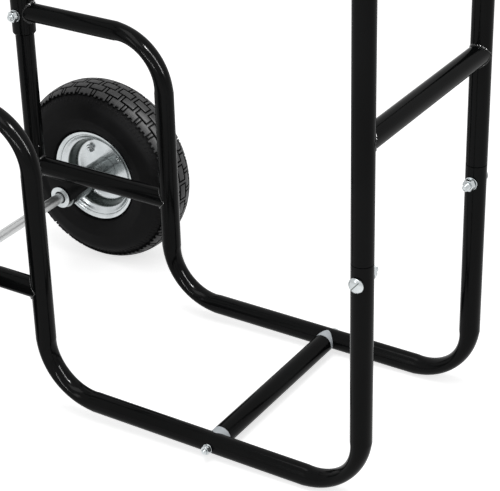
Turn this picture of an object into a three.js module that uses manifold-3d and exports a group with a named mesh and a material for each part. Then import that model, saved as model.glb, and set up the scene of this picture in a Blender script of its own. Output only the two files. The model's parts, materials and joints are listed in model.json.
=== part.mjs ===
// A fireside log cart: two bent side tubes on the floor, a front hoop, a rear handle hoop, and two
// pneumatic wheels on one fixed axle under the step at the back.
//
// All sizes are in millimetres. The frame is laid out on a level bench, with x across the cart, y from
// the front legs to the rear and z up from the underside of the bottom tubes. The tyres reach lower than
// those tubes, so the finished cart is tipped a little forward until tyres and front bends share the floor.
import * as THREE from 'three';
import { mergeVertices } from 'three/addons/utils/BufferGeometryUtils.js';
import Module from 'manifold-3d';

const wasm = await Module();
wasm.setup();

// ---------------------------------------------------------------- driving sizes

// Frame tube, and how a press bender leaves it: narrower in the plane of the bend, a little wider across.
const TUBE_DIAMETER = 25;
const TUBE_WALL = 1.5;
const BEND_RADIUS = 70;
const BEND_FLATTENING = 7;
const BEND_SWELLING = 1.2;

// Layout of the frame, between centre lines. Heights count from the underside of the bottom tubes.
const FRAME_WIDTH = 268;
const BED_LENGTH = 433;
const STEP_LENGTH = 219;
const STEP_HEIGHT = 370;
const RAIL_HEIGHT = 149;
const FRONT_SEAM_HEIGHT = 305;
const HOOP_HEIGHT = 917;
const FRONT_BRACE_HEIGHT = 441;
const REAR_BRACE_HEIGHT = 520;
const CROSSBAR_SETBACK = 194;

// Rear handle: where its legs bend back, how far they run on, and the foam on its crossbar.
const KNEE_HEIGHT = 880;
const KNEE_RADIUS = 110;
const KNEE_ANGLE = THREE.MathUtils.degToRad(35);
const HANDLE_REACH = 230;
const GRIP_LENGTH = 118;
const GRIP_WALL = 4.5;

// Plug-in joints: the necked end of one tube in the next, the long sleeve and the short socket.
const PLUG_LENGTH = 42;
const PLUG_CLEARANCE = 0.5;
const SLEEVE_WALL = 2.7;
const SLEEVE_LENGTH = 95;
const SLEEVE_FOOT_HEIGHT = 340;
const SLEEVE_CHAMFER = 2;
const SOCKET_TOP_HEIGHT = 180;
const SOCKET_FOOT_HEIGHT = 134;
const FRONT_BOLT_DROP = 20;
const REAR_BOLT_RISE = 28;

// Axle and the plates that hang it under the rails.
const AXLE_DIAMETER = 14;
const AXLE_SETBACK = 179;
const AXLE_HEIGHT = 109;
const AXLE_END = 7;
const BRACKET_THICKNESS = 4;
const BRACKET_TIP_RADIUS = 13;
const BRACKET_FRONT_REACH = 50;
const BRACKET_REAR_REACH = 24;
const AXLE_WASHER_DIAMETER = 30;
const AXLE_WASHER_HOLE = 17;
const AXLE_WASHER_THICKNESS = 2.5;
const COTTER_DIAMETER = 3;
const COTTER_LEG = 13;
const COTTER_EYE_RADIUS = 3.4;

// Wheel: a 260 mm tyre on a 4 inch rim that is bolted together from two pressed halves.
const TYRE_RADIUS = 130;
const TYRE_WIDTH = 78;
const TYRE_CROWN_HEIGHT = 38;
const TYRE_CROWN_POWER = 2.4;
const TYRE_WALL = 5;
const TYRE_TREAD = 7;
const WHEEL_OFFSET = 101;
const RIM_FLANGE_RADIUS = 65;
const RIM_HALF_WIDTH = 29;
const RIM_SHEET = 2;
const RIM_SEAT_RADIUS = 50.5;
const RIM_DISC_RADIUS = 46.5;
const RIM_BOLT_COUNT = 4;
const RIM_BOLT_CIRCLE = 35;
const RIM_BOLT_START = THREE.MathUtils.degToRad(37);
const HUB_DIAMETER = 34;
const HUB_WALL = 3;
const HUB_OUTER_REACH = 36;
const INNER_TUBE_WALL = 2.5;
const VALVE_DIAMETER = 6;
const VALVE_BORE = 2.4;
const VALVE_OFFSET = 6.6;
const VALVE_TIP_RADIUS = 33;

// M8 fasteners of the plug-in joints. The tail is what shows past the nut.
const BOLT_DIAMETER = 8;
const FRONT_BOLT_TAIL = 8;
const REAR_BOLT_TAIL = 4.5;
const DOME_DIAMETER = 17.6;
const DOME_HEIGHT = 5;
const WASHER_DIAMETER = 16;
const WASHER_THICKNESS = 1.6;
const NUT_ACROSS_FLATS = 13;
const NUT_HEIGHT = 6.5;

// M6 fasteners of the crossbar and the rims.
const SMALL_BOLT_DIAMETER = 6;
const SMALL_WASHER_DIAMETER = 12;
const SMALL_NUT_ACROSS_FLATS = 10;
const SMALL_NUT_HEIGHT = 5;
const SMALL_HEAD_HEIGHT = 4;
const TIE_BOLT_TAIL = 4;
const RIM_BOLT_TAIL = 2;

// Moulded saddles at the ends of the crossbar: how far they stand out of it, and how far they plug in.
const SADDLE_WAIST = 5;
const SADDLE_SPIGOT_LENGTH = 12;

// Gaps: between pieces that are welded or pressed together, and around a bolt in its hole.
const SEAM_GAP = 0.3;
const HOLE_GAP = 0.4;
const RUNNING_GAP = 0.5;

// How finely round shapes are cut.
const TUBE_SIDES = 12;
const BEND_STEP = THREE.MathUtils.degToRad(18);
const FINE_SIDES = 8;
const ROUND_SIDES = 16;
const WHEEL_SIDES = 24;

// ---------------------------------------------------------------- sizes that follow from those

const TUBE_RADIUS = TUBE_DIAMETER / 2;
const BORE_RADIUS = TUBE_RADIUS - TUBE_WALL;
const BOTTOM_HEIGHT = TUBE_RADIUS;
const SIDE_X = FRAME_WIDTH / 2;
const RISER_Y = BED_LENGTH;
const UPRIGHT_Y = BED_LENGTH + STEP_LENGTH;
const AXLE_Y = BED_LENGTH + AXLE_SETBACK;
const AXLE_RADIUS = AXLE_DIAMETER / 2;
const BOLT_RADIUS = BOLT_DIAMETER / 2;
const BOLT_HOLE_RADIUS = BOLT_RADIUS + HOLE_GAP;
const SMALL_BOLT_RADIUS = SMALL_BOLT_DIAMETER / 2;
const SMALL_HOLE_RADIUS = SMALL_BOLT_RADIUS + HOLE_GAP;
const AXLE_HOLE_RADIUS = AXLE_RADIUS + HOLE_GAP;
const NECKING = TUBE_WALL + PLUG_CLEARANCE;
const SLEEVE_BORE_RADIUS = TUBE_RADIUS + SEAM_GAP;
const SLEEVE_RADIUS = SLEEVE_BORE_RADIUS + SLEEVE_WALL;
const WHEEL_X = SIDE_X + WHEEL_OFFSET;
const HUB_RADIUS = HUB_DIAMETER / 2;
const HUB_INNER_REACH = WHEEL_OFFSET - BRACKET_THICKNESS / 2 - RUNNING_GAP;

const X_AXIS = new THREE.Vector3(1, 0, 0);
const Y_AXIS = new THREE.Vector3(0, 1, 0);
const Z_AXIS = new THREE.Vector3(0, 0, 1);

// ---------------------------------------------------------------- materials

const paint = new THREE.MeshStandardMaterial({ color: 0x0d0e0f, roughness: 0.28, metalness: 0.15 });
const zinc = new THREE.MeshStandardMaterial({ color: 0xc6cacd, roughness: 0.3, metalness: 0.95 });
const rubber = new THREE.MeshStandardMaterial({ color: 0x1b1c1d, roughness: 0.75, metalness: 0 });
const saddlePlastic = new THREE.MeshStandardMaterial({ color: 0xc3cace, roughness: 0.5, metalness: 0 });
const nylon = new THREE.MeshStandardMaterial({ color: 0xdedcd2, roughness: 0.45, metalness: 0 });
const foam = new THREE.MeshStandardMaterial({ color: 0x161616, roughness: 0.95, metalness: 0 });

// ---------------------------------------------------------------- solids

// Turns a closed surface into a solid whose faces point out.
function solid(geometry) {
  const bare = geometry.clone();
  bare.deleteAttribute('normal');
  bare.deleteAttribute('uv');
  const merged = mergeVertices(bare, 1e-4);
  const triangles = new Uint32Array(merged.index.array);
  const made = () => new wasm.Manifold(new wasm.Mesh({
    numProp: 3, vertProperties: merged.attributes.position.array, triVerts: triangles,
  }));
  if (made().volume() > 0) return made();
  for (let i = 0; i < triangles.length; i += 3) {
    [triangles[i], triangles[i + 1]] = [triangles[i + 1], triangles[i]];
  }
  return made();
}

// Gives a solid back as flat-shaded triangles.
function surface(body) {
  const { vertProperties, triVerts } = body.getMesh();
  const geometry = new THREE.BufferGeometry();
  geometry.setAttribute('position', new THREE.BufferAttribute(new Float32Array(vertProperties), 3));
  geometry.setIndex(new THREE.BufferAttribute(new Uint32Array(triVerts), 1));
  const flat = geometry.toNonIndexed();
  flat.computeVertexNormals();
  return flat;
}

function cut(body, ...tools) {
  return tools.reduce((left, tool) => left.subtract(tool), body);
}

function join(body, ...others) {
  return others.reduce((whole, other) => whole.add(other), body);
}

// The radius of a faceted hole whose flats, not its corners, keep a round piece's clearance.
function holeRadius(radius, sides = ROUND_SIDES) {
  return radius / Math.cos(Math.PI / sides);
}

// Turns the y axis, on which three.js makes round shapes, to a chosen direction.
function aim(geometry, axis, place) {
  geometry.applyQuaternion(new THREE.Quaternion().setFromUnitVectors(Y_AXIS, axis));
  return geometry.translate(place.x, place.y, place.z);
}

function rod(radius, length, axis, centre, sides = ROUND_SIDES) {
  return solid(aim(new THREE.CylinderGeometry(radius, radius, length, sides), axis, centre));
}

function drill(radius, length, axis, centre, sides = FINE_SIDES) {
  return rod(holeRadius(radius, sides), length, axis, centre, sides);
}

// Revolves a profile of [radius, height] points; a profile off the axis is closed on itself.
function turned(profile, axis, place, sides = ROUND_SIDES) {
  const onAxis = profile[0][0] === 0 && profile.at(-1)[0] === 0;
  const points = (onAxis ? profile : [...profile, profile[0]]).map(([r, h]) => new THREE.Vector2(r, h));
  return solid(aim(new THREE.LatheGeometry(points, sides), axis, place));
}

function node(name, body, material) {
  const mesh = new THREE.Mesh(surface(body), material);
  mesh.name = name;
  return mesh;
}

// ---------------------------------------------------------------- bent tube

// A path that is followed from station to station, so that straight runs cost no extra rings.
class StationPath extends THREE.Curve {
  constructor(stations) {
    super();
    this.stations = stations;
  }

  station(t) {
    return this.stations[Math.round(t * (this.stations.length - 1))];
  }

  getUtoTmapping(u) {
    return u;
  }

  getPoint(t, target = new THREE.Vector3()) {
    return target.copy(this.station(t).at);
  }

  getTangent(t, target = new THREE.Vector3()) {
    return target.copy(this.station(t).along);
  }
}

// The stations of one bend, from the run that comes in to the run that goes out.
function bendStations(corner, incoming, outgoing, { radius, flat }) {
  const angle = incoming.angleTo(outgoing);
  const axis = incoming.clone().cross(outgoing).normalize();
  const inward = axis.clone().cross(incoming);
  const centre = corner.clone()
    .addScaledVector(incoming, -radius * Math.tan(angle / 2))
    .addScaledVector(inward, radius);
  const steps = Math.round(angle / BEND_STEP);
  return Array.from({ length: steps + 1 }, (_, k) => {
    const share = k / steps;
    const turnedInward = inward.clone().applyAxisAngle(axis, angle * share);
    return {
      at: centre.clone().addScaledVector(turnedInward, -radius),
      along: incoming.clone().applyAxisAngle(axis, angle * share),
      inward: turnedInward,
      flattening: flat ? Math.sin(Math.PI * share) ** 0.7 : 0,
      necking: 0,
    };
  });
}

// The stations of a whole tube. A plug is a necked stretch that runs on past the first or last corner.
function tubeStations(corners, bends, plugs = {}) {
  const run = corners.slice(1).map((corner, i) => corner.clone().sub(corners[i]).normalize());
  const straight = (at, along, necking = 0) => ({ at, along, inward: null, flattening: 0, necking });
  const stations = [straight(corners[0], run[0])];
  bends.forEach((bend, i) => {
    stations.push(...bendStations(corners[i + 1], run[i], run[i + 1], bend));
  });
  stations.push(straight(corners.at(-1), run.at(-1)));
  const necked = (corner, along, reach) => {
    return straight(corner.clone().addScaledVector(along, reach), along, NECKING);
  };
  if (plugs.start) {
    stations.unshift(necked(corners[0], run[0], -PLUG_LENGTH), necked(corners[0], run[0], -SEAM_GAP));
  }
  if (plugs.end) {
    const end = corners.at(-1);
    stations.push(necked(end, run.at(-1), SEAM_GAP), necked(end, run.at(-1), PLUG_LENGTH));
  }
  return stations;
}

// Moves one ring of the swept tube: necked all round, or flattened as the bender leaves it.
function shapeRing(point, station) {
  const offset = point.clone().sub(station.at);
  const radius = offset.length();
  offset.multiplyScalar(1 - station.necking / radius);
  if (station.flattening > 0) {
    const across = station.along.clone().cross(station.inward);
    const flatten = station.flattening * BEND_FLATTENING / 2 / radius;
    const swell = station.flattening * BEND_SWELLING / 2 / radius;
    offset.addScaledVector(station.inward, -offset.dot(station.inward) * flatten);
    offset.addScaledVector(across, offset.dot(across) * swell);
  }
  return offset.add(station.at);
}

function ringPoints(radius, sides) {
  return Array.from({ length: sides }, (_, k) => {
    const angle = (2 * Math.PI * (k + 0.5)) / sides;
    return new THREE.Vector2(radius * Math.cos(angle), radius * Math.sin(angle));
  });
}

function bentTube(corners, bends, plugs) {
  const stations = tubeStations(corners, bends, plugs);
  const section = new THREE.Shape(ringPoints(TUBE_RADIUS, TUBE_SIDES));
  section.holes.push(new THREE.Path(ringPoints(BORE_RADIUS, TUBE_SIDES)));
  const geometry = new THREE.ExtrudeGeometry(section, {
    steps: stations.length - 1, extrudePath: new StationPath(stations),
  });
  const positions = geometry.attributes.position;
  const point = new THREE.Vector3();
  for (let i = 0; i < positions.count; i += 1) {
    point.fromBufferAttribute(positions, i);
    const own = stations
      .filter((station) => station.at.distanceTo(point) < TUBE_DIAMETER)
      .map((station) => [Math.abs(point.clone().sub(station.at).dot(station.along)), station])
      .reduce((best, next) => (next[0] < best[0] ? next : best))[1];
    positions.setXYZ(i, ...shapeRing(point, own).toArray());
  }
  return solid(geometry);
}

// A cutter that leaves a coped end, one seam gap clear of a round piece.
function cope(radius, axis, centre) {
  const reach = 4 * TUBE_DIAMETER;
  return rod(holeRadius(radius + SEAM_GAP, 2 * TUBE_SIDES), reach, axis, centre, 2 * TUBE_SIDES);
}

const at = (x, y, z) => new THREE.Vector3(x, y, z);

// ---------------------------------------------------------------- welded side frames

const BEND = { radius: BEND_RADIUS, flat: true };
const FRONT_BOLT_HEIGHT = FRONT_SEAM_HEIGHT - FRONT_BOLT_DROP;
const REAR_BOLT_HEIGHT = SLEEVE_FOOT_HEIGHT + REAR_BOLT_RISE;

// One tube: front stub, along the floor, up the riser, and back over the wheel to the sleeve.
function sideTube(x) {
  const tube = bentTube([
    at(x, 0, FRONT_SEAM_HEIGHT),
    at(x, 0, BOTTOM_HEIGHT),
    at(x, RISER_Y, BOTTOM_HEIGHT),
    at(x, RISER_Y, STEP_HEIGHT),
    at(x, UPRIGHT_Y, STEP_HEIGHT),
  ], [BEND, BEND, BEND]);
  return cut(
    tube,
    cope(SLEEVE_RADIUS, Z_AXIS, at(x, UPRIGHT_Y, STEP_HEIGHT)),
    drill(BOLT_HOLE_RADIUS, 2 * TUBE_DIAMETER, X_AXIS, at(x, 0, FRONT_BOLT_HEIGHT)),
    drill(SMALL_HOLE_RADIUS, 2 * TUBE_DIAMETER, X_AXIS, at(x, CROSSBAR_SETBACK, BOTTOM_HEIGHT)),
  );
}

// The upright slides through this sleeve, which is welded to the end of the step.
function rearSleeve(x) {
  const bore = holeRadius(SLEEVE_BORE_RADIUS);
  const sleeve = turned([
    [bore, 0],
    [SLEEVE_RADIUS - SLEEVE_CHAMFER, 0],
    [SLEEVE_RADIUS, SLEEVE_CHAMFER],
    [SLEEVE_RADIUS, SLEEVE_LENGTH - SLEEVE_CHAMFER],
    [SLEEVE_RADIUS - SLEEVE_CHAMFER, SLEEVE_LENGTH],
    [bore, SLEEVE_LENGTH],
  ], Z_AXIS, at(x, UPRIGHT_Y, SLEEVE_FOOT_HEIGHT));
  return cut(sleeve, drill(BOLT_HOLE_RADIUS, 2 * SLEEVE_RADIUS + TUBE_DIAMETER, X_AXIS,
    at(x, UPRIGHT_Y, REAR_BOLT_HEIGHT)));
}

// The rail over the axle, with the short socket for the upright at its rear end.
function axleRail(x) {
  const socketLength = SOCKET_TOP_HEIGHT - SOCKET_FOOT_HEIGHT;
  const socketCentre = at(x, UPRIGHT_Y, SOCKET_FOOT_HEIGHT + socketLength / 2);
  const rail = cut(
    bentTube([at(x, RISER_Y, RAIL_HEIGHT), at(x, UPRIGHT_Y, RAIL_HEIGHT)], []),
    cope(TUBE_RADIUS, Z_AXIS, at(x, RISER_Y, RAIL_HEIGHT)),
  );
  return cut(
    join(rail, rod(TUBE_RADIUS, socketLength, Z_AXIS, socketCentre)),
    drill(BORE_RADIUS, 2 * socketLength, Z_AXIS, socketCentre, ROUND_SIDES),
  );
}

// A plate that hangs from the rail and narrows to a round tip under the axle.
function axleBracket(x) {
  const top = RAIL_HEIGHT - TUBE_RADIUS - SEAM_GAP - AXLE_HEIGHT;
  const tangent = (reach, turn) => {
    return Math.atan2(top, reach) + turn * Math.acos(BRACKET_TIP_RADIUS / Math.hypot(reach, top));
  };
  const plate = new THREE.Shape();
  plate.moveTo(BRACKET_REAR_REACH, top);
  plate.lineTo(-BRACKET_FRONT_REACH, top);
  plate.absarc(0, 0, BRACKET_TIP_RADIUS, tangent(-BRACKET_FRONT_REACH, 1),
    2 * Math.PI + tangent(BRACKET_REAR_REACH, -1), false);
  plate.closePath();
  const geometry = new THREE.ExtrudeGeometry(plate, {
    depth: BRACKET_THICKNESS, curveSegments: ROUND_SIDES / 2, bevelEnabled: false,
  });
  geometry.applyMatrix4(new THREE.Matrix4().makeBasis(Y_AXIS, Z_AXIS, X_AXIS));
  geometry.translate(x - BRACKET_THICKNESS / 2, AXLE_Y, AXLE_HEIGHT);
  return cut(
    solid(geometry),
    drill(AXLE_HOLE_RADIUS, 2 * TUBE_DIAMETER, X_AXIS, at(x, AXLE_Y, AXLE_HEIGHT), ROUND_SIDES),
  );
}

// ---------------------------------------------------------------- hoops and their braces

// The front hoop: its legs are necked to plug into the stubs of the side tubes.
function frontHoop() {
  const legFoot = FRONT_SEAM_HEIGHT + SEAM_GAP;
  const hoop = bentTube([
    at(-SIDE_X, 0, legFoot), at(-SIDE_X, 0, HOOP_HEIGHT), at(SIDE_X, 0, HOOP_HEIGHT), at(SIDE_X, 0, legFoot),
  ], [BEND, BEND], { start: true, end: true });
  const holes = drill(BOLT_HOLE_RADIUS, FRAME_WIDTH + 2 * TUBE_DIAMETER, X_AXIS, at(0, 0, FRONT_BOLT_HEIGHT));
  return cut(hoop, holes);
}

// The rear hoop: two uprights through the sleeves into the sockets, bent back above to form the handle.
function handleHoop() {
  const foot = SOCKET_TOP_HEIGHT + SEAM_GAP;
  const gripY = UPRIGHT_Y + HANDLE_REACH * Math.sin(KNEE_ANGLE);
  const gripHeight = KNEE_HEIGHT + HANDLE_REACH * Math.cos(KNEE_ANGLE);
  const knee = { radius: KNEE_RADIUS, flat: false };
  const hoop = bentTube([
    at(-SIDE_X, UPRIGHT_Y, foot), at(-SIDE_X, UPRIGHT_Y, KNEE_HEIGHT), at(-SIDE_X, gripY, gripHeight),
    at(SIDE_X, gripY, gripHeight), at(SIDE_X, UPRIGHT_Y, KNEE_HEIGHT), at(SIDE_X, UPRIGHT_Y, foot),
  ], [knee, BEND, BEND, knee], { start: true, end: true });
  const boltPlace = at(0, UPRIGHT_Y, REAR_BOLT_HEIGHT);
  return cut(hoop, drill(BOLT_HOLE_RADIUS, FRAME_WIDTH + 2 * TUBE_DIAMETER, X_AXIS, boltPlace));
}

// A foam sleeve on the handle's crossbar.
function handleGrip() {
  const radius = TUBE_RADIUS + SEAM_GAP + GRIP_WALL;
  const bore = holeRadius(TUBE_RADIUS + SEAM_GAP);
  const half = GRIP_LENGTH / 2;
  const rounding = GRIP_WALL / 2;
  const lean = at(0, Math.sin(KNEE_ANGLE), Math.cos(KNEE_ANGLE)).multiplyScalar(HANDLE_REACH);
  const centre = at(0, UPRIGHT_Y, KNEE_HEIGHT).add(lean);
  return turned([
    [bore, -half], [radius - rounding, -half], [radius, rounding - half],
    [radius, half - rounding], [radius - rounding, half], [bore, half],
  ], X_AXIS, centre);
}

// A straight tube between the legs of a hoop, coped to both.
function brace(y, height) {
  return cut(
    bentTube([at(-SIDE_X, y, height), at(SIDE_X, y, height)], []),
    cope(TUBE_RADIUS, Z_AXIS, at(-SIDE_X, y, height)),
    cope(TUBE_RADIUS, Z_AXIS, at(SIDE_X, y, height)),
  );
}

// ---------------------------------------------------------------- bottom crossbar

const CROSSBAR_END = SIDE_X - TUBE_RADIUS - SADDLE_WAIST;

function crossbar() {
  return bentTube([
    at(-CROSSBAR_END, CROSSBAR_SETBACK, BOTTOM_HEIGHT), at(CROSSBAR_END, CROSSBAR_SETBACK, BOTTOM_HEIGHT),
  ], []);
}

// A plug for the end of the crossbar, hollowed to sit against the side tube.
function crossbarSaddle(side) {
  const centre = (reach) => at(side * reach, CROSSBAR_SETBACK, BOTTOM_HEIGHT);
  const seat = CROSSBAR_END + SEAM_GAP;
  const spigotRadius = BORE_RADIUS * Math.cos(Math.PI / TUBE_SIDES) - SEAM_GAP;
  const spigotFoot = CROSSBAR_END - SADDLE_SPIGOT_LENGTH;
  return cut(
    join(
      rod(TUBE_RADIUS, SIDE_X - seat, X_AXIS, centre((SIDE_X + seat) / 2)),
      rod(spigotRadius, SIDE_X - spigotFoot, X_AXIS, centre((SIDE_X + spigotFoot) / 2)),
    ),
    cope(TUBE_RADIUS, Y_AXIS, centre(SIDE_X)),
    drill(SMALL_HOLE_RADIUS, FRAME_WIDTH, X_AXIS, centre(SIDE_X)),
  );
}

// ---------------------------------------------------------------- fasteners

// Distances along a bolt from the round piece that its washer or head rests on.
const WASHER_SEAT = SEAM_GAP;
const NUT_SEAT = WASHER_SEAT + WASHER_THICKNESS + SEAM_GAP;

function hexagon(acrossFlats, height, centre) {
  return rod(acrossFlats / 2 / Math.cos(Math.PI / 6), height, X_AXIS, centre, 6);
}

// A bolt shank along x, from its head's seat to its rounded tip.
function shank(radius, seat, tip, y, z) {
  const length = Math.abs(tip - seat);
  return turned([
    [0, 0], [radius, 0], [radius, length - 1.5], [radius - 1.5, length], [0, length],
  ], at(Math.sign(tip - seat), 0, 0), at(seat, y, z), FINE_SIDES);
}

// A dome-headed bolt whose head faces out on this side of the cart.
function domeBolt(side, radius, tail, y, z) {
  const seat = side * (SIDE_X + radius + SEAM_GAP);
  const tip = side * (SIDE_X - radius - NUT_SEAT - NUT_HEIGHT - tail);
  const rim = DOME_HEIGHT / 5;
  const dome = Array.from({ length: 3 }, (_, k) => {
    const angle = (k / 3) * (Math.PI / 2);
    return [DOME_DIAMETER / 2 * Math.cos(angle), rim + (DOME_HEIGHT - rim) * Math.sin(angle)];
  });
  const head = turned(
    [[0, 0], [DOME_DIAMETER / 2, 0], ...dome, [0, DOME_HEIGHT]], at(side, 0, 0), at(seat, y, z), TUBE_SIDES,
  );
  return join(head, shank(BOLT_RADIUS, seat + side * rim, tip, y, z));
}

function washer(outerDiameter, roundHole, thickness, centre) {
  const hole = holeRadius(roundHole, TUBE_SIDES);
  const half = thickness / 2;
  return turned([
    [hole, -half], [outerDiameter / 2, -half], [outerDiameter / 2, half], [hole, half],
  ], X_AXIS, centre, TUBE_SIDES);
}

function boltWasher(x, y, z) {
  return washer(WASHER_DIAMETER, BOLT_HOLE_RADIUS, WASHER_THICKNESS, at(x, y, z));
}

function nut(acrossFlats, height, radius, centre) {
  return cut(hexagon(acrossFlats, height, centre), drill(radius + SEAM_GAP, 2 * height, X_AXIS, centre));
}

function bigNut(x, y, z) {
  return nut(NUT_ACROSS_FLATS, NUT_HEIGHT, BOLT_RADIUS, at(x, y, z));
}

// One long bolt through both side tubes and the crossbar, with its head on the right.
const TIE_FACE_X = SIDE_X + TUBE_RADIUS;

function tieBolt() {
  const seat = TIE_FACE_X + WASHER_SEAT;
  const tip = -(TIE_FACE_X + NUT_SEAT + SMALL_NUT_HEIGHT + TIE_BOLT_TAIL);
  const headCentre = at(seat + SMALL_HEAD_HEIGHT / 2, CROSSBAR_SETBACK, BOTTOM_HEIGHT);
  return join(
    hexagon(SMALL_NUT_ACROSS_FLATS, SMALL_HEAD_HEIGHT, headCentre),
    shank(SMALL_BOLT_RADIUS, seat + 1, tip, CROSSBAR_SETBACK, BOTTOM_HEIGHT),
  );
}

function tieWasher() {
  const centre = at(-TIE_FACE_X - WASHER_SEAT - WASHER_THICKNESS / 2, CROSSBAR_SETBACK, BOTTOM_HEIGHT);
  return washer(SMALL_WASHER_DIAMETER, SMALL_HOLE_RADIUS, WASHER_THICKNESS, centre);
}

function tieNut() {
  const centre = at(-TIE_FACE_X - NUT_SEAT - SMALL_NUT_HEIGHT / 2, CROSSBAR_SETBACK, BOTTOM_HEIGHT);
  return nut(SMALL_NUT_ACROSS_FLATS, SMALL_NUT_HEIGHT, SMALL_BOLT_RADIUS, centre);
}

// ---------------------------------------------------------------- axle

const HUB_END_X = WHEEL_X + HUB_OUTER_REACH;
const OUTER_WASHER_X = HUB_END_X + RUNNING_GAP + AXLE_WASHER_THICKNESS / 2;
const COTTER_X = OUTER_WASHER_X + AXLE_WASHER_THICKNESS / 2 + SEAM_GAP + COTTER_DIAMETER / 2;
const INNER_WASHER_X = SIDE_X - BRACKET_THICKNESS / 2 - SEAM_GAP - AXLE_WASHER_THICKNESS / 2;

function axleRod() {
  const end = COTTER_X + AXLE_END;
  const bar = turned([
    [0, -end], [AXLE_RADIUS - 1, -end], [AXLE_RADIUS, 1 - end],
    [AXLE_RADIUS, end - 1], [AXLE_RADIUS - 1, end], [0, end],
  ], X_AXIS, at(0, AXLE_Y, AXLE_HEIGHT));
  const hole = (side) => {
    const place = at(side * COTTER_X, AXLE_Y, AXLE_HEIGHT);
    return drill(COTTER_DIAMETER / 2 + SEAM_GAP, 2 * AXLE_DIAMETER, Z_AXIS, place);
  };
  return cut(bar, hole(-1), hole(1));
}

function axleWasher(x, hole) {
  return washer(AXLE_WASHER_DIAMETER, hole, AXLE_WASHER_THICKNESS, at(x, AXLE_Y, AXLE_HEIGHT));
}

// A pin through the end of the axle, with an eye above it.
function cotterPin(side) {
  const wire = COTTER_DIAMETER / 2;
  const eyeHeight = AXLE_RADIUS + COTTER_EYE_RADIUS + wire + RUNNING_GAP;
  const centre = at(side * COTTER_X, AXLE_Y, AXLE_HEIGHT);
  const place = (y, z) => centre.clone().add(at(0, y, z));
  const stations = [{ at: place(0, -COTTER_LEG), along: Z_AXIS }];
  const steps = 10;
  for (let k = 0; k <= steps; k += 1) {
    const angle = Math.PI - (k / steps) * 1.4 * Math.PI;
    stations.push({
      at: place(COTTER_EYE_RADIUS * (1 + Math.cos(angle)), eyeHeight + COTTER_EYE_RADIUS * Math.sin(angle)),
      along: at(0, Math.sin(angle), -Math.cos(angle)),
    });
  }
  return solid(new THREE.ExtrudeGeometry(new THREE.Shape(ringPoints(wire, 8)), {
    steps: stations.length - 1, extrudePath: new StationPath(stations),
  }));
}

// ---------------------------------------------------------------- wheel
// A wheel is made about its own centre, with its axle along x and its outer face towards +x.

const DISC_FACE = RIM_SHEET + SEAM_GAP / 2;

// The face of the pressed rim that can be seen, from the lip of the flange to the hub, as [radius, offset].
const RIM_FACE = [
  [RIM_FLANGE_RADIUS, RIM_HALF_WIDTH],
  [RIM_FLANGE_RADIUS - 4, RIM_HALF_WIDTH - 1.2],
  [RIM_SEAT_RADIUS + 4, RIM_HALF_WIDTH - 7.5],
  [RIM_SEAT_RADIUS, RIM_HALF_WIDTH - 9.5],
  [RIM_DISC_RADIUS, DISC_FACE + 2],
  [RIM_DISC_RADIUS - 3.5, DISC_FACE],
  [HUB_RADIUS + SEAM_GAP, DISC_FACE],
];

// The same profile, moved by a distance towards the tyre.
function rimFaceMovedBy(distance) {
  const normals = RIM_FACE.slice(1).map(([radius, offset], i) => {
    const run = new THREE.Vector2(radius - RIM_FACE[i][0], offset - RIM_FACE[i][1]).normalize();
    return new THREE.Vector2(-run.y, run.x);
  });
  return RIM_FACE.map(([radius, offset], i) => {
    const before = normals[Math.max(i - 1, 0)];
    const after = normals[Math.min(i, normals.length - 1)];
    const mitre = before.clone().add(after).normalize();
    mitre.multiplyScalar(distance / mitre.dot(before));
    return [radius + mitre.x, offset + mitre.y];
  });
}

function rimBoltAngles() {
  const step = (2 * Math.PI) / RIM_BOLT_COUNT;
  return Array.from({ length: RIM_BOLT_COUNT }, (_, k) => RIM_BOLT_START + k * step);
}

function rimBoltPlace(angle, x = 0) {
  return at(x, -RIM_BOLT_CIRCLE * Math.cos(angle), RIM_BOLT_CIRCLE * Math.sin(angle));
}

// The valve comes through the outer half, midway between two bolts.
const VALVE_ANGLE = RIM_BOLT_START + Math.PI / RIM_BOLT_COUNT;
const VALVE_DIRECTION = at(0, -Math.cos(VALVE_ANGLE), Math.sin(VALVE_ANGLE));

function valvePlace(radius) {
  return VALVE_DIRECTION.clone().multiplyScalar(radius).add(at(VALVE_OFFSET, 0, 0));
}

// One pressed half of the rim: flange, bead seat and bolted disc.
function rimHalf(side) {
  const sheet = [...RIM_FACE, ...rimFaceMovedBy(RIM_SHEET).reverse()];
  const profile = sheet.map(([radius, offset]) => [radius, side * offset]);
  const half = turned(profile, X_AXIS, at(0, 0, 0), WHEEL_SIDES);
  const holes = rimBoltAngles().map((angle) => (
    drill(SMALL_HOLE_RADIUS, RIM_HALF_WIDTH, X_AXIS, rimBoltPlace(angle))
  ));
  const depth = RIM_FLANGE_RADIUS - VALVE_TIP_RADIUS;
  const valveMiddle = valvePlace(VALVE_TIP_RADIUS + depth / 2);
  const valveHole = drill(VALVE_DIAMETER / 2 + HOLE_GAP, depth, VALVE_DIRECTION, valveMiddle);
  return cut(half, ...holes, ...(side > 0 ? [valveHole] : []));
}

// One side of the tyre's crown and wall, as a superellipse over a quarter ellipse.
function tyreSide(halfWidth, crownHeight, foot, crownSteps, wallSteps) {
  const base = TYRE_RADIUS - TYRE_CROWN_HEIGHT;
  const power = 2 / TYRE_CROWN_POWER;
  const crown = Array.from({ length: crownSteps }, (_, k) => {
    const angle = ((k + 1) / crownSteps) * (Math.PI / 2);
    return [base + crownHeight * Math.abs(Math.cos(angle)) ** power, halfWidth * Math.sin(angle) ** power];
  });
  const wall = Array.from({ length: wallSteps }, (_, k) => {
    const angle = ((k + 1) / wallSteps) * (Math.PI / 2);
    return [base - (base - foot[0]) * Math.sin(angle), foot[1] + (halfWidth - foot[1]) * Math.cos(angle)];
  });
  return [...crown, ...wall];
}

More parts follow.
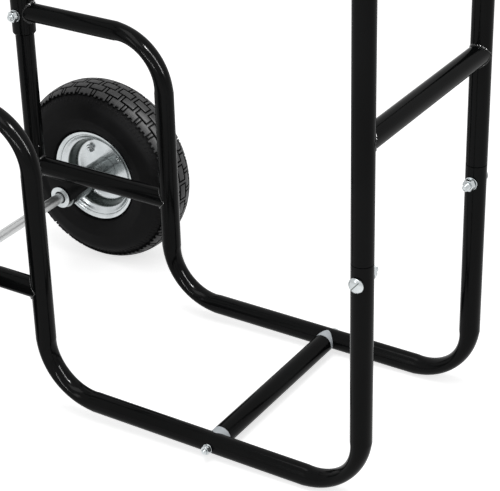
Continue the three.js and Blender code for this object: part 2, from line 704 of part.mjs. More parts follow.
// The cover: tread and walls outside, and the beads that grip the rim.
function tyre() {
  const seat = rimFaceMovedBy(RIM_SHEET + SEAM_GAP);
  const outside = tyreSide(TYRE_WIDTH / 2, TYRE_CROWN_HEIGHT, [RIM_FLANGE_RADIUS + 2, seat[1][1]], 4, 3);
  const bead = seat.slice(1, 4);
  const toe = [bead.at(-1)[0] + 6, bead.at(-1)[1]];
  const insideFoot = [RIM_SEAT_RADIUS + 9, toe[1] + 2];
  const inside = tyreSide(TYRE_WIDTH / 2 - TYRE_WALL, TYRE_CROWN_HEIGHT - TYRE_TREAD, insideFoot, 3, 1);
  const floor = [TYRE_RADIUS - TYRE_TREAD, 0];
  const half = [[TYRE_RADIUS, 0], ...outside, ...bead, toe, ...inside.reverse(), floor];
  const otherHalf = half.slice(1, -1).reverse().map(([radius, offset]) => [radius, -offset]);
  return turned([...half, ...otherHalf], X_AXIS, at(0, 0, 0), WHEEL_SIDES);
}

// The air tube inside the tyre, with its hollow valve stem.
function innerTube() {
  const top = (TYRE_RADIUS - TYRE_TREAD) * Math.cos(Math.PI / WHEEL_SIDES) - SEAM_GAP;
  const bottom = RIM_SEAT_RADIUS + 11;
  const ring = (inset) => Array.from({ length: FINE_SIDES }, (_, k) => {
    const angle = (2 * Math.PI * k) / FINE_SIDES;
    const height = (top - bottom) / 2 - inset;
    const width = TYRE_WIDTH / 2 - TYRE_WALL - 3 - inset;
    return [(top + bottom) / 2 + height * Math.sin(angle), width * Math.cos(angle)];
  });
  const skin = (inset) => turned(ring(inset), X_AXIS, at(0, 0, 0));
  const reach = bottom + 3 * INNER_TUBE_WALL - VALVE_TIP_RADIUS;
  const stemCentre = valvePlace(VALVE_TIP_RADIUS + reach / 2);
  return cut(
    join(skin(0), rod(VALVE_DIAMETER / 2, reach, VALVE_DIRECTION, stemCentre, FINE_SIDES)),
    skin(INNER_TUBE_WALL),
    rod(VALVE_BORE / 2, 2 * reach, VALVE_DIRECTION, stemCentre, FINE_SIDES),
  );
}

function hubTube() {
  const radius = HUB_RADIUS;
  const bore = HUB_RADIUS - HUB_WALL;
  return turned([
    [bore, -HUB_INNER_REACH], [radius, -HUB_INNER_REACH], [radius, HUB_OUTER_REACH], [bore, HUB_OUTER_REACH],
  ], X_AXIS, at(0, 0, 0));
}

// A plain nylon bush that fills the hub and turns on the axle.
function hubBush() {
  const radius = (HUB_RADIUS - HUB_WALL) * Math.cos(Math.PI / ROUND_SIDES) - SEAM_GAP;
  const bore = holeRadius(AXLE_RADIUS + RUNNING_GAP);
  return turned([
    [bore, -HUB_INNER_REACH], [radius, -HUB_INNER_REACH], [radius, HUB_OUTER_REACH], [bore, HUB_OUTER_REACH],
  ], X_AXIS, at(0, 0, 0));
}

// A bolt with its nut screwed on, through both halves of the rim.
function rimBolt(angle) {
  const seat = DISC_FACE + SEAM_GAP;
  const place = rimBoltPlace(angle);
  return join(
    hexagon(SMALL_NUT_ACROSS_FLATS, SMALL_HEAD_HEIGHT, rimBoltPlace(angle, seat + SMALL_HEAD_HEIGHT / 2)),
    hexagon(SMALL_NUT_ACROSS_FLATS, SMALL_NUT_HEIGHT, rimBoltPlace(angle, -seat - SMALL_NUT_HEIGHT / 2)),
    shank(SMALL_BOLT_RADIUS, seat + 1, -seat - SMALL_NUT_HEIGHT - RIM_BOLT_TAIL, place.y, place.z),
  );
}

function wheel(hand) {
  const group = new THREE.Group();
  group.add(
    node(`tyre_${hand}`, tyre(), rubber),
    node(`inner_tube_${hand}`, innerTube(), rubber),
    node(`rim_inner_half_${hand}`, rimHalf(-1), zinc),
    node(`rim_outer_half_${hand}`, rimHalf(1), zinc),
    node(`hub_tube_${hand}`, hubTube(), zinc),
    node(`hub_bush_${hand}`, hubBush(), nylon),
    ...rimBoltAngles().map((angle, k) => node(`rim_bolt_${k + 1}_${hand}`, rimBolt(angle), zinc)),
  );
  return group;
}

// ---------------------------------------------------------------- assembly

// How far the cart is tipped forward, so that the tyres and the start of the bottom run share the floor.
const TIP_ANGLE = Math.asin(TYRE_RADIUS / Math.hypot(AXLE_Y - BEND_RADIUS, AXLE_HEIGHT))
  - Math.atan2(AXLE_HEIGHT, AXLE_Y - BEND_RADIUS);

const cart = new THREE.Group();
cart.rotation.x = TIP_ANGLE;

for (const [hand, side] of [['left', -1], ['right', 1]]) {
  const x = side * SIDE_X;
  const frontNutX = side * (SIDE_X - TUBE_RADIUS);
  const rearNutX = side * (SIDE_X - SLEEVE_RADIUS);
  const washerStep = side * (WASHER_SEAT + WASHER_THICKNESS / 2);
  const nutStep = side * (NUT_SEAT + NUT_HEIGHT / 2);
  cart.add(
    node(`side_tube_${hand}`, sideTube(x), paint),
    node(`rear_sleeve_${hand}`, rearSleeve(x), paint),
    node(`axle_rail_${hand}`, axleRail(x), paint),
    node(`axle_bracket_${hand}`, axleBracket(x), paint),
    node(`crossbar_saddle_${hand}`, crossbarSaddle(side), saddlePlastic),
    node(`front_bolt_${hand}`, domeBolt(side, TUBE_RADIUS, FRONT_BOLT_TAIL, 0, FRONT_BOLT_HEIGHT), zinc),
    node(`front_washer_${hand}`, boltWasher(frontNutX - washerStep, 0, FRONT_BOLT_HEIGHT), zinc),
    node(`front_nut_${hand}`, bigNut(frontNutX - nutStep, 0, FRONT_BOLT_HEIGHT), zinc),
    node(`rear_bolt_${hand}`, domeBolt(side, SLEEVE_RADIUS, REAR_BOLT_TAIL, UPRIGHT_Y, REAR_BOLT_HEIGHT), zinc),
    node(`rear_washer_${hand}`, boltWasher(rearNutX - washerStep, UPRIGHT_Y, REAR_BOLT_HEIGHT), zinc),
    node(`rear_nut_${hand}`, bigNut(rearNutX - nutStep, UPRIGHT_Y, REAR_BOLT_HEIGHT), zinc),
    node(`axle_washer_inner_${hand}`, axleWasher(side * INNER_WASHER_X, AXLE_WASHER_HOLE / 2), zinc),
    node(`axle_washer_outer_${hand}`, axleWasher(side * OUTER_WASHER_X, AXLE_HOLE_RADIUS), zinc),
    node(`cotter_pin_${hand}`, cotterPin(side), zinc),
  );
  const ownWheel = wheel(hand);
  ownWheel.position.set(side * WHEEL_X, AXLE_Y, AXLE_HEIGHT);
  ownWheel.rotation.set(-TIP_ANGLE, 0, side > 0 ? 0 : Math.PI);
  cart.add(ownWheel);
}

cart.add(
  node('front_hoop', frontHoop(), paint),
  node('front_brace', brace(0, FRONT_BRACE_HEIGHT), paint),
  node('handle_hoop', handleHoop(), paint),
  node('rear_brace', brace(UPRIGHT_Y, REAR_BRACE_HEIGHT), paint),
  node('handle_grip', handleGrip(), foam),
  node('bottom_crossbar', crossbar(), paint),
  node('tie_bolt', tieBolt(), zinc),
  node('tie_washer', tieWasher(), zinc),
  node('tie_nut', tieNut(), zinc),
  node('axle_rod', axleRod(), zinc),
);

// The origin is on the floor, under the middle of the cart's box.
const group = new THREE.Group();
group.add(cart);
group.updateMatrixWorld(true);
const box = new THREE.Box3().setFromObject(group, true);
const middle = box.getCenter(new THREE.Vector3());
cart.position.set(-middle.x, -middle.y, -box.min.z);

export default group;
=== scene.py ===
# %% [markdown]
# # A fireside log cart
# The cart is bent black steel tube on two pneumatic wheels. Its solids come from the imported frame, and
# this notebook dresses them: each faceted tube, wheel and bolt is replaced by a fine mesh of the same size.

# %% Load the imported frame
import json
import math

import bmesh
import bpy
from mathutils import Matrix, Vector

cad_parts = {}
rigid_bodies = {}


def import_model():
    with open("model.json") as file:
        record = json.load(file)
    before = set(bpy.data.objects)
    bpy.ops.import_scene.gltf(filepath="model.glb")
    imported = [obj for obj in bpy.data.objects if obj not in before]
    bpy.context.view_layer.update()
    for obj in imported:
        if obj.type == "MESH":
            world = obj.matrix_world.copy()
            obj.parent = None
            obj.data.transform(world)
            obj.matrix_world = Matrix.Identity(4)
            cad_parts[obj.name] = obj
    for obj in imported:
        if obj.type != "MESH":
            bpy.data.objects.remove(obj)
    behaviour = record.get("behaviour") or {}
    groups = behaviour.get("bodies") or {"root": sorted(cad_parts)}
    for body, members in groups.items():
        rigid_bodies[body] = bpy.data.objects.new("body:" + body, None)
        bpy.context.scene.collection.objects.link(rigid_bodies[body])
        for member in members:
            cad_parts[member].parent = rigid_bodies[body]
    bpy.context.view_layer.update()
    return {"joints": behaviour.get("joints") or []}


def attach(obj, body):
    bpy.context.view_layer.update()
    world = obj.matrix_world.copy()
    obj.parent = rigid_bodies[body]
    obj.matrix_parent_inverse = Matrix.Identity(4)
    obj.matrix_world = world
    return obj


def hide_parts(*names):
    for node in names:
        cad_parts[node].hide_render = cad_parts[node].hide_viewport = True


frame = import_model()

# %% [markdown]
# ## The sizes
# These are the sizes of the solids, in metres. The frame is laid out on a level bench: x runs across the
# cart, y from the front legs to the rear, z up from the underside of the bottom tubes. The tyres reach
# lower than those tubes, so the whole cart is then tipped forward until tyres and front bends stand on
# the floor. The tip and the shift are worked out from the axle, whose place on the floor the frame gives.

# %% Sizes
TUBE_RADIUS = 0.0125
BORE_RADIUS = 0.011
BEND_RADIUS = 0.070
BEND_FLATTENING = 0.007
BEND_SWELLING = 0.0012
SIDE_X = 0.134
BOTTOM_Z = TUBE_RADIUS
RISER_Y = 0.433
UPRIGHT_Y = 0.652
STEP_Z = 0.370
RAIL_Z = 0.149
FRONT_SEAM_Z = 0.305
FRONT_BOLT_Z = 0.285
REAR_BOLT_Z = 0.368
HOOP_Z = 0.917
FRONT_BRACE_Z = 0.441
REAR_BRACE_Z = 0.520
CROSSBAR_Y = 0.194
KNEE_Z = 0.880
KNEE_RADIUS = 0.110
KNEE_ANGLE = math.radians(35)
HANDLE_REACH = 0.230
PLUG_LENGTH = 0.042
PLUG_RADIUS = 0.0105
PLUG_BORE = 0.009
BORE_DEPTH = 0.030
SLEEVE_RADIUS = 0.0155
SLEEVE_FOOT_Z = 0.340
SLEEVE_LENGTH = 0.095
SLEEVE_EDGE = 0.0016
SOCKET_FOOT_Z = 0.134
SOCKET_TOP_Z = 0.180
AXLE_Y = 0.612
AXLE_Z = 0.109
AXLE_RADIUS = 0.007
TYRE_RADIUS = 0.130
TYRE_WIDTH = 0.078
WHEEL_X = 0.235
HUB_RADIUS = 0.017
HUB_INNER_REACH = 0.0985
HUB_OUTER_REACH = 0.036
SEAM_GAP = 0.0003
HOLE_GAP = 0.0004
RUNNING_GAP = 0.0005

GRIP_Y = UPRIGHT_Y + HANDLE_REACH * math.sin(KNEE_ANGLE)
GRIP_Z = KNEE_Z + HANDLE_REACH * math.cos(KNEE_ANGLE)

AXLE_PLACE = Vector(next(joint["pos_m"] for joint in frame["joints"] if joint["name"] == "wheel_right_spin"))
CONTACT_Y = AXLE_Y - BEND_RADIUS
TIP = math.asin(TYRE_RADIUS / math.hypot(CONTACT_Y, AXLE_Z)) - math.atan2(AXLE_Z, CONTACT_Y)
TURN = Matrix.Rotation(TIP, 4, "X")
SHIFT = AXLE_PLACE - TURN @ Vector((WHEEL_X, AXLE_Y, AXLE_Z))
BENCH_TO_FLOOR = Matrix.Translation(SHIFT) @ TURN
print("tipped forward by", round(math.degrees(TIP), 2), "degrees, shifted by", [round(v, 4) for v in SHIFT])

# %% [markdown]
# ## The camera
# The photograph was taken from the front left, looking down a little, with a long lens. Its place and
# turn were worked out from the edges of the tubes, on the level bench, so the camera is tipped with the cart.

# %% Camera
CAMERA_PLACE = Vector((-1.5220, -0.7610, 1.1915))
CAMERA_YAW = math.radians(57.10)
CAMERA_PITCH = math.radians(28.64)
CAMERA_ROLL = math.radians(-1.55)
PHOTO_WIDTH = 500
FOCAL_PIXELS = 1762
camera_data = bpy.data.cameras.new("camera")
camera_data.sensor_width = 36
camera_data.lens = FOCAL_PIXELS / PHOTO_WIDTH * camera_data.sensor_width
camera_data.clip_end = 50
camera = bpy.data.objects.new("camera", camera_data)
bpy.context.scene.collection.objects.link(camera)
camera_turn = (Matrix.Rotation(-CAMERA_YAW, 4, "Z") @ Matrix.Rotation(math.pi / 2 - CAMERA_PITCH, 4, "X")
               @ Matrix.Rotation(CAMERA_ROLL, 4, "Z"))
camera.matrix_world = BENCH_TO_FLOOR @ Matrix.Translation(CAMERA_PLACE) @ camera_turn
bpy.context.scene.camera = camera
print("camera at", [round(v, 3) for v in camera.matrix_world.translation])

# %% [markdown]
# ## Shared effects
# Paint, plating and rubber all have a fine relief and a slight unevenness. Both are noise, so one node
# group makes them and each material sets its own scale and depth. The group reads Object coordinates,
# which stay with the piece when it moves.

# %% Node group for fine relief and uneven gloss
def add_nodes(tree, *kinds):
    return [tree.nodes.new("ShaderNode" + kind) for kind in kinds]


def surface_grain_group():
    group = bpy.data.node_groups.new("surface_grain", "ShaderNodeTree")
    group.interface.new_socket("Vector", in_out="INPUT", socket_type="NodeSocketVector")
    for way, names in (("INPUT", ("Relief Scale", "Patch Scale", "Low", "High")),
                       ("OUTPUT", ("Relief", "Patch", "Roughness"))):
        for name in names:
            group.interface.new_socket(name, in_out=way, socket_type="NodeSocketFloat")
    nodes, links = group.nodes, group.links
    given, result = nodes.new("NodeGroupInput"), nodes.new("NodeGroupOutput")
    relief, patch, spread = add_nodes(group, "TexNoise", "TexNoise", "MapRange")
    relief.inputs["Detail"].default_value = 2.0
    patch.inputs["Detail"].default_value = 5.0
    for noise, scale in ((relief, "Relief Scale"), (patch, "Patch Scale")):
        links.new(given.outputs["Vector"], noise.inputs["Vector"])
        links.new(given.outputs[scale], noise.inputs["Scale"])
    spread.inputs["From Min"].default_value = 0.3
    spread.inputs["From Max"].default_value = 0.7
    links.new(patch.outputs["Fac"], spread.inputs["Value"])
    links.new(given.outputs["Low"], spread.inputs["To Min"])
    links.new(given.outputs["High"], spread.inputs["To Max"])
    links.new(relief.outputs["Fac"], result.inputs["Relief"])
    links.new(patch.outputs["Fac"], result.inputs["Patch"])
    links.new(spread.outputs["Result"], result.inputs["Roughness"])
    return group


SURFACE_GRAIN = surface_grain_group()
print("node group:", SURFACE_GRAIN.name)

# %% [markdown]
# A material here is a Principled shader fed by that group: two close colours mixed by the patches, a
# roughness between two values, and a bump from the relief. What is the same all over is set on the
# shader's own sockets. Two materials fade their reflection towards a piece's edges, and marks that a mesh
# carries raise the gloss of weld beads and of the tyre's block tops. Marks also mix in other colours: a
# lighter one on the block tops, which is painted light, and a darker one in the zinc, which is painted
# dark reflection and shade, and on the hub partly matt zinc.

# %% Materials
def grained_material(name, dark, light, rough, relief_scale, relief_depth, patch_scale,
                     stretch=(1, 1, 1), **fixed):
    """A Principled material with two close colours, a range of roughness and a fine relief."""
    material = bpy.data.materials.new(name)
    material.use_nodes = True
    nodes, links = material.node_tree.nodes, material.node_tree.links
    shader = nodes["Principled BSDF"]
    for socket, value in fixed.items():
        shader.inputs[socket.replace("_", " ")].default_value = value
    place, mapping, grain, colours, bump = add_nodes(material.node_tree, "TexCoord", "Mapping", "Group",
                                                     "ValToRGB", "Bump")
    grain.node_tree = SURFACE_GRAIN
    mapping.inputs["Scale"].default_value = stretch
    links.new(place.outputs["Object"], mapping.inputs["Vector"])
    links.new(mapping.outputs["Vector"], grain.inputs["Vector"])
    grain.inputs["Relief Scale"].default_value = relief_scale
    grain.inputs["Patch Scale"].default_value = patch_scale
    grain.inputs["Low"].default_value, grain.inputs["High"].default_value = rough
    for stop, position, colour in zip(colours.color_ramp.elements, (0.35, 0.65), (dark, light)):
        stop.position, stop.color = position, (*colour, 1)
    links.new(grain.outputs["Patch"], colours.inputs["Fac"])
    links.new(colours.outputs["Color"], shader.inputs["Base Color"])
    links.new(grain.outputs["Roughness"], shader.inputs["Roughness"])
    bump.inputs["Distance"].default_value = relief_depth
    links.new(grain.outputs["Relief"], bump.inputs["Height"])
    links.new(bump.outputs["Normal"], shader.inputs["Normal"])
    return material


def soften_edges(material, facing, grazing, polished, level):
    """Fades the reflection towards a piece's edges, and raises it where the mesh carries a mark."""
    nodes, links = material.node_tree.nodes, material.node_tree.links
    edge, fade, mark, raise_mark, larger = add_nodes(material.node_tree, "LayerWeight", "MapRange",
                                                     "Attribute", "Math", "Math")
    fade.inputs["To Min"].default_value, fade.inputs["To Max"].default_value = facing, grazing
    mark.attribute_name = polished
    raise_mark.operation, larger.operation = "MULTIPLY", "MAXIMUM"
    raise_mark.inputs[1].default_value = level
    links.new(edge.outputs["Facing"], fade.inputs["Value"])
    links.new(mark.outputs["Fac"], raise_mark.inputs[0])
    links.new(fade.outputs["Result"], larger.inputs[0])
    links.new(raise_mark.outputs["Value"], larger.inputs[1])
    links.new(larger.outputs["Value"], nodes["Principled BSDF"].inputs["Specular IOR Level"])


def tint_where(material, marked, colour):
    """Mixes in another colour where the mesh carries a mark."""
    nodes, links = material.node_tree.nodes, material.node_tree.links
    mark, mix = add_nodes(material.node_tree, "Attribute", "Mix")
    mark.attribute_name = marked
    mix.data_type = "RGBA"
    mix.inputs["B"].default_value = (*colour, 1)
    links.new(mark.outputs["Fac"], mix.inputs["Factor"])
    links.new(nodes["Color Ramp"].outputs["Color"], mix.inputs["A"])
    links.new(mix.outputs["Result"], nodes["Principled BSDF"].inputs["Base Color"])


PAINT = grained_material("black_powder_coat", (0.0035, 0.0037, 0.0038), (0.0055, 0.0058, 0.006), (0.10, 0.17),
                         420, 0.00003, 9)
ZINC = grained_material("bright_zinc_plate", (0.46, 0.49, 0.50), (0.62, 0.65, 0.66), (0.18, 0.32),
                        700, 0.00002, 30, Metallic=1.0)
STEEL_ROD = grained_material("drawn_zinc_rod", (0.60, 0.61, 0.61), (0.74, 0.74, 0.73), (0.34, 0.48),
                             600, 0.00003, 22, (0.06, 1, 1), Metallic=1.0)
RUBBER = grained_material("tyre_rubber", (0.0045, 0.0045, 0.0048), (0.009, 0.009, 0.0095), (0.42, 0.6),
                          800, 0.00008, 26)
SADDLE = grained_material("pale_moulded_plastic", (0.52, 0.56, 0.59), (0.60, 0.64, 0.67), (0.4, 0.55),
                          900, 0.00003, 60)
NYLON = grained_material("natural_nylon", (0.66, 0.65, 0.58), (0.72, 0.71, 0.64), (0.4, 0.5),
                         700, 0.00003, 40)
FOAM = grained_material("black_grip_foam", (0.008, 0.008, 0.008), (0.016, 0.016, 0.016), (0.85, 0.95),
                        1500, 0.00035, 60)
soften_edges(PAINT, 0.07, 0.012, "bead", 0.4)
# The marked tops of the tyre's blocks get more gloss, and a lighter colour that is painted light.
soften_edges(RUBBER, 0.08, 0.01, "scuff", 0.3)
tint_where(RUBBER, "scuff", (0.027, 0.027, 0.028))
# A darker zinc colour: painted dark reflection and shade in the rim's fold and in a bolt's slot, and on the
# hub partly matt zinc and partly painted dark reflection.
tint_where(ZINC, "dull", (0.13, 0.145, 0.138))
print("materials:", *(material.name for material in (PAINT, ZINC, STEEL_ROD, RUBBER, SADDLE, NYLON, FOAM)))

# %% [markdown]
# ## Working by hand, in code
# Each piece starts as a primitive and is shaped in edit mode. An operator acts on what is selected, so
# everything is deselected first. A helper ends each piece: it gets its finish and its smooth shading,
# rides on its body and takes the place of its faceted node.

# %% Helpers for selecting and finishing
SIDES = {"left": -1, "right": 1}


def deselect_all():
    if bpy.context.object and bpy.context.object.mode != "OBJECT":
        bpy.ops.object.mode_set(mode="OBJECT")
    bpy.ops.object.select_all(action="DESELECT")


def activate(piece):
    deselect_all()
    piece.select_set(True)
    bpy.context.view_layer.objects.active = piece


def edit_new(name):
    """Names the primitive that was just added, settles its place, and opens it in edit mode."""
    piece = bpy.context.object
    piece.name = piece.data.name = name
    bpy.ops.object.transform_apply(location=True, rotation=True, scale=True)
    bpy.ops.object.mode_set(mode="EDIT")
    bpy.ops.mesh.select_all(action="SELECT")
    return piece


def close_shell():
    """Merges doubled points, turns the faces outwards and leaves edit mode."""
    bpy.ops.mesh.select_all(action="SELECT")
    bpy.ops.mesh.remove_doubles(threshold=0.00001)
    bpy.ops.mesh.normals_make_consistent(inside=False)
    bpy.ops.object.mode_set(mode="OBJECT")


def turn_to(direction):
    """The turn that points a primitive's z axis along a direction."""
    return direction.to_track_quat("Z", "Y").to_euler()


def extrude(step):
    bpy.ops.mesh.extrude_region_move(TRANSFORM_OT_translate={"value": step})


def draw_outline(name, points, closed):
    """Extrudes one point along an outline, and stays in edit mode with all of it selected."""
    deselect_all()
    bpy.ops.mesh.primitive_plane_add(size=0.001, location=points[0])
    piece = edit_new(name)
    bpy.ops.mesh.merge(type="CENTER")
    route = [*points, points[0]] if closed else points
    for a, b in zip(route, route[1:]):
        extrude(b - a)
    bpy.ops.mesh.select_all(action="SELECT")
    return piece


def finish_piece(piece, material, node, body="cart_frame", where=BENCH_TO_FLOOR, angle=32):
    """Gives a piece its place, shading and material, its body, and the solid that it replaces."""
    piece.data.transform(where)
    activate(piece)
    bpy.ops.object.shade_smooth_by_angle(angle=math.radians(angle))
    piece.data.materials.clear()
    piece.data.materials.append(material)
    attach(piece, body)
    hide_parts(node)


def copy_piece(piece, name):
    """A copy with a mesh of its own."""
    copied = piece.copy()
    copied.data = piece.data.copy()
    copied.name = copied.data.name = name
    bpy.context.scene.collection.objects.link(copied)
    return copied


def join_pieces(first, *others):
    activate(first)
    for other in others:
        other.select_set(True)
    bpy.ops.object.join()
    return first


def mark_points(piece, name, amount):
    """Stores a value from 0 to 1 on each point of a mesh, for its material to read."""
    marks = piece.data.attributes.new(name, "FLOAT", "POINT")
    marks.data.foreach_set("value", [float(amount(point)) for point in piece.data.vertices])


def mark_faces(piece, name, amount):
    marks = piece.data.attributes.new(name, "FLOAT", "FACE")
    marks.data.foreach_set("value", [float(amount(face)) for face in piece.data.polygons])


print("helpers ready")

# %% [markdown]
# ## Tube
# Bent tube can be a curve with a round bevel, or a ring that is extruded along each straight and spun
# round each bend. The ring way is used here, because it is how a bender makes tube, and because each bend
# can then be flattened. A press bender leaves the tube narrower in the plane of the bend and a little
# wider across it, most at the middle. That is a formula, so those rings are moved in code.

# %% Helper that sweeps a tube
TUBE_FACETS = 40
BEND_STEP = math.radians(3)
BEND_FULLNESS = 0.7


def rotated(vector, axis, angle):
    return Matrix.Rotation(angle, 3, axis) @ vector


def ring_extrude(centre, step, old_radius, new_radius):
    """Extrudes the selected ring by a step, and makes it wider or narrower."""
    extrude(step)
    if abs(new_radius - old_radius) > 1e-7:
        factor = new_radius / old_radius
        bpy.ops.transform.resize(value=(factor, factor, factor), center_override=centre + step)


def shape_ends(radius, end, outward, profile):
    """Carries a tube's end ring on through (advance, radius) steps, as for a rounded lip or a plug."""
    centre, old_radius, reached = end.copy(), radius, 0.0
    for advance, new_radius in profile:
        step = outward * (advance - reached)
        ring_extrude(centre, step, old_radius, new_radius)
        centre, old_radius, reached = centre + step, new_radius, advance


def select_ring(piece, end, radius):
    """Selects the ring of points round one end of a tube."""
    bpy.ops.mesh.select_all(action="DESELECT")
    mesh = bmesh.from_edit_mesh(piece.data)
    for point in mesh.verts:
        point.select = (point.co - end).length < radius * 1.02
    mesh.select_flush(True)
    bmesh.update_edit_mesh(piece.data)


def flatten_bend(piece, centre, axis, start, angle, bend_radius):
    """Moves the points of one bend, most at its middle. The arm is a point's place from the bend's centre."""
    for point in piece.data.vertices:
        arm = point.co - centre
        across = arm.dot(axis)
        flat_arm = arm - axis * across
        reach = flat_arm.length
        share = math.atan2(start.cross(flat_arm).dot(axis), start.dot(flat_arm)) / angle
        if 0 < share < 1 and abs(reach - bend_radius) < 2 * TUBE_RADIUS and abs(across) < 2 * TUBE_RADIUS:
            press = math.sin(math.pi * share) ** BEND_FULLNESS
            new_reach = bend_radius + (reach - bend_radius) * (1 - press * BEND_FLATTENING / 2 / TUBE_RADIUS)
            new_across = across * (1 + press * BEND_SWELLING / 2 / TUBE_RADIUS)
            point.co = centre + flat_arm * (new_reach / reach) + axis * new_across


def bent_tube(name, corners, bends, ends, radius=TUBE_RADIUS, facets=TUBE_FACETS):
    """A tube from corner to corner. bends holds (radius, flattened) pairs, ends the two end profiles."""
    corners = [Vector(corner) for corner in corners]
    runs = [(b - a).normalized() for a, b in zip(corners, corners[1:])]
    deselect_all()
    bpy.ops.mesh.primitive_circle_add(vertices=facets, radius=radius, location=corners[0],
                                      rotation=turn_to(runs[0]))
    piece = edit_new(name)
    place, pressed = corners[0].copy(), []
    for corner, run, next_run, (bend_radius, flattened) in zip(corners[1:], runs, runs[1:], bends):
        angle = run.angle(next_run)
        axis = run.cross(next_run).normalized()
        bend_start = corner - run * bend_radius * math.tan(angle / 2)
        centre = bend_start + axis.cross(run) * bend_radius
        extrude(bend_start - place)
        bpy.ops.mesh.spin(steps=max(2, round(angle / BEND_STEP)), angle=angle, center=centre, axis=-axis)
        place = centre + rotated(bend_start - centre, axis, angle)
        if flattened:
            pressed.append((centre, axis, bend_start - centre, angle, bend_radius))
    extrude(corners[-1] - place)
    shape_ends(radius, corners[-1], runs[-1], ends[1])
    if ends[0]:
        select_ring(piece, corners[0], radius)
        shape_ends(radius, corners[0], -runs[0], ends[0])
    close_shell()
    for bend in pressed:
        flatten_bend(piece, *bend)
    return piece


def cope_end(piece, end, outward, leg_axis, leg_radius):
    """Hollows the end of a tube to lie against the side of a round leg."""
    across = outward.cross(leg_axis).normalized()
    for point in piece.data.vertices:
        arm = point.co - end
        if abs(arm.dot(outward)) < 1e-5:
            side = min(abs(arm.dot(across)), leg_radius)
            point.co += outward * (leg_radius - math.sqrt(leg_radius ** 2 - side ** 2))


# Ends of a tube: an open lip, the wider lip at a seam, a necked plug, and a plain cut.
EDGE, HAIR = 0.0003, 0.0001
LIP = ((EDGE, TUBE_RADIUS - EDGE), (EDGE, BORE_RADIUS + EDGE), (0.0, BORE_RADIUS), (-BORE_DEPTH, BORE_RADIUS))
SEAM_LIP = ((EDGE, TUBE_RADIUS - 3 * EDGE), *LIP[1:])
PLUG = ((EDGE, TUBE_RADIUS - EDGE), (EDGE, PLUG_RADIUS), (PLUG_LENGTH, PLUG_RADIUS), (PLUG_LENGTH, PLUG_BORE))
PLAIN = ()
UP, ALONG, ACROSS = Vector((0, 0, 1)), Vector((0, 1, 0)), Vector((1, 0, 0))
print("a flattened bend is", round((2 * TUBE_RADIUS - BEND_FLATTENING) * 1000, 1), "mm through its middle")

# %% [markdown]
# ## Side tubes
# Each side is one tube: a front stub, the run along the floor, the riser, and the step back over the
# wheel. Its rear end is hollowed to lie against the sleeve that the upright passes through.

# %% Side tubes
for hand, side in SIDES.items():
    x = side * SIDE_X
    step_end = Vector((x, UPRIGHT_Y - SLEEVE_RADIUS, STEP_Z))
    tube = bent_tube(
        f"side_tube_{hand}_painted",
        [(x, 0, FRONT_SEAM_Z), (x, 0, BOTTOM_Z), (x, RISER_Y, BOTTOM_Z), (x, RISER_Y, STEP_Z), step_end],
        [(BEND_RADIUS, True)] * 3, (SEAM_LIP, PLAIN))
    cope_end(tube, step_end, ALONG, UP, SLEEVE_RADIUS)
    finish_piece(tube, PAINT, f"side_tube_{hand}")
    print(tube.name, len(tube.data.vertices), "points")

# %% [markdown]
# ## Hoops
# The front hoop and the handle are the same tube again. The ends of both are necked to plug into the
# tubes below, so a thin dark seam shows where one tube ends and the next begins. The handle's legs lean
# back above the knees, on a wider bend that stays round.

# %% Front hoop and handle
front_foot = FRONT_SEAM_Z + 3 * SEAM_GAP
hoop = bent_tube(
    "front_hoop_painted",
    [(-SIDE_X, 0, front_foot), (-SIDE_X, 0, HOOP_Z), (SIDE_X, 0, HOOP_Z), (SIDE_X, 0, front_foot)],
    [(BEND_RADIUS, True)] * 2, (PLUG, PLUG))
finish_piece(hoop, PAINT, "front_hoop")

rear_foot = SOCKET_TOP_Z + 3 * SEAM_GAP
handle = bent_tube(
    "handle_hoop_painted",
    [(-SIDE_X, UPRIGHT_Y, rear_foot), (-SIDE_X, UPRIGHT_Y, KNEE_Z), (-SIDE_X, GRIP_Y, GRIP_Z),
     (SIDE_X, GRIP_Y, GRIP_Z), (SIDE_X, UPRIGHT_Y, KNEE_Z), (SIDE_X, UPRIGHT_Y, rear_foot)],
    [(KNEE_RADIUS, False), (BEND_RADIUS, True), (BEND_RADIUS, True), (KNEE_RADIUS, False)], (PLUG, PLUG))
finish_piece(handle, PAINT, "handle_hoop")
print("hoop", len(hoop.data.vertices), "points, handle", len(handle.data.vertices), "points")

# %% [markdown]
# ## Welds
# A weld round a coped tube is a bead that follows the saddle where two round tubes meet. A torus is laid
# round the tube, and each of its points is slid along the tube until it lies on the leg. The bead is thick
# in the two crooks and thin on the flanks, and a ripple makes it look laid by hand. It carries a mark, which
# the paint reads as a brighter gloss.

# %% Helper that lays a weld bead
BEAD_RADIUS = 0.0021
RAIL_BEAD_RADIUS = 0.0024
SLEEVE_BEAD_RADIUS = 0.0032
PLATE_BEAD_RADIUS = 0.0018
BEAD_FLANK = 0.35
BEAD_RIPPLES, RIPPLE_SHARE, WANDER_SHARE = 30, 0.16, 0.12


def weld_bead(name, end, outward, leg_axis, tube_radius, leg_radius, bead=BEAD_RADIUS):
    deselect_all()
    bpy.ops.mesh.primitive_torus_add(major_segments=96, minor_segments=10, major_radius=tube_radius,
                                     minor_radius=bead, location=end, rotation=turn_to(outward))
    piece = edit_new(name)
    bpy.ops.object.mode_set(mode="OBJECT")
    across = outward.cross(leg_axis).normalized()
    for point in piece.data.vertices:
        arm = point.co - end
        flat_arm = arm - outward * arm.dot(outward)
        spoke = flat_arm.normalized() * tube_radius
        turn = math.atan2(spoke.dot(across), spoke.dot(leg_axis))
        swell = BEAD_FLANK + (1 - BEAD_FLANK) * math.cos(turn) ** 2
        wander = WANDER_SHARE * math.sin(5 * turn + end.x * 90)
        swell *= 1 + RIPPLE_SHARE * math.sin(BEAD_RIPPLES * turn) + wander
        side = min(abs(spoke.dot(across)), leg_radius * 0.999)
        slide = leg_radius - math.sqrt(leg_radius ** 2 - side ** 2)
        point.co = end + spoke + (arm - spoke) * swell + outward * slide
    mark_points(piece, "bead", lambda point: 1)
    return piece


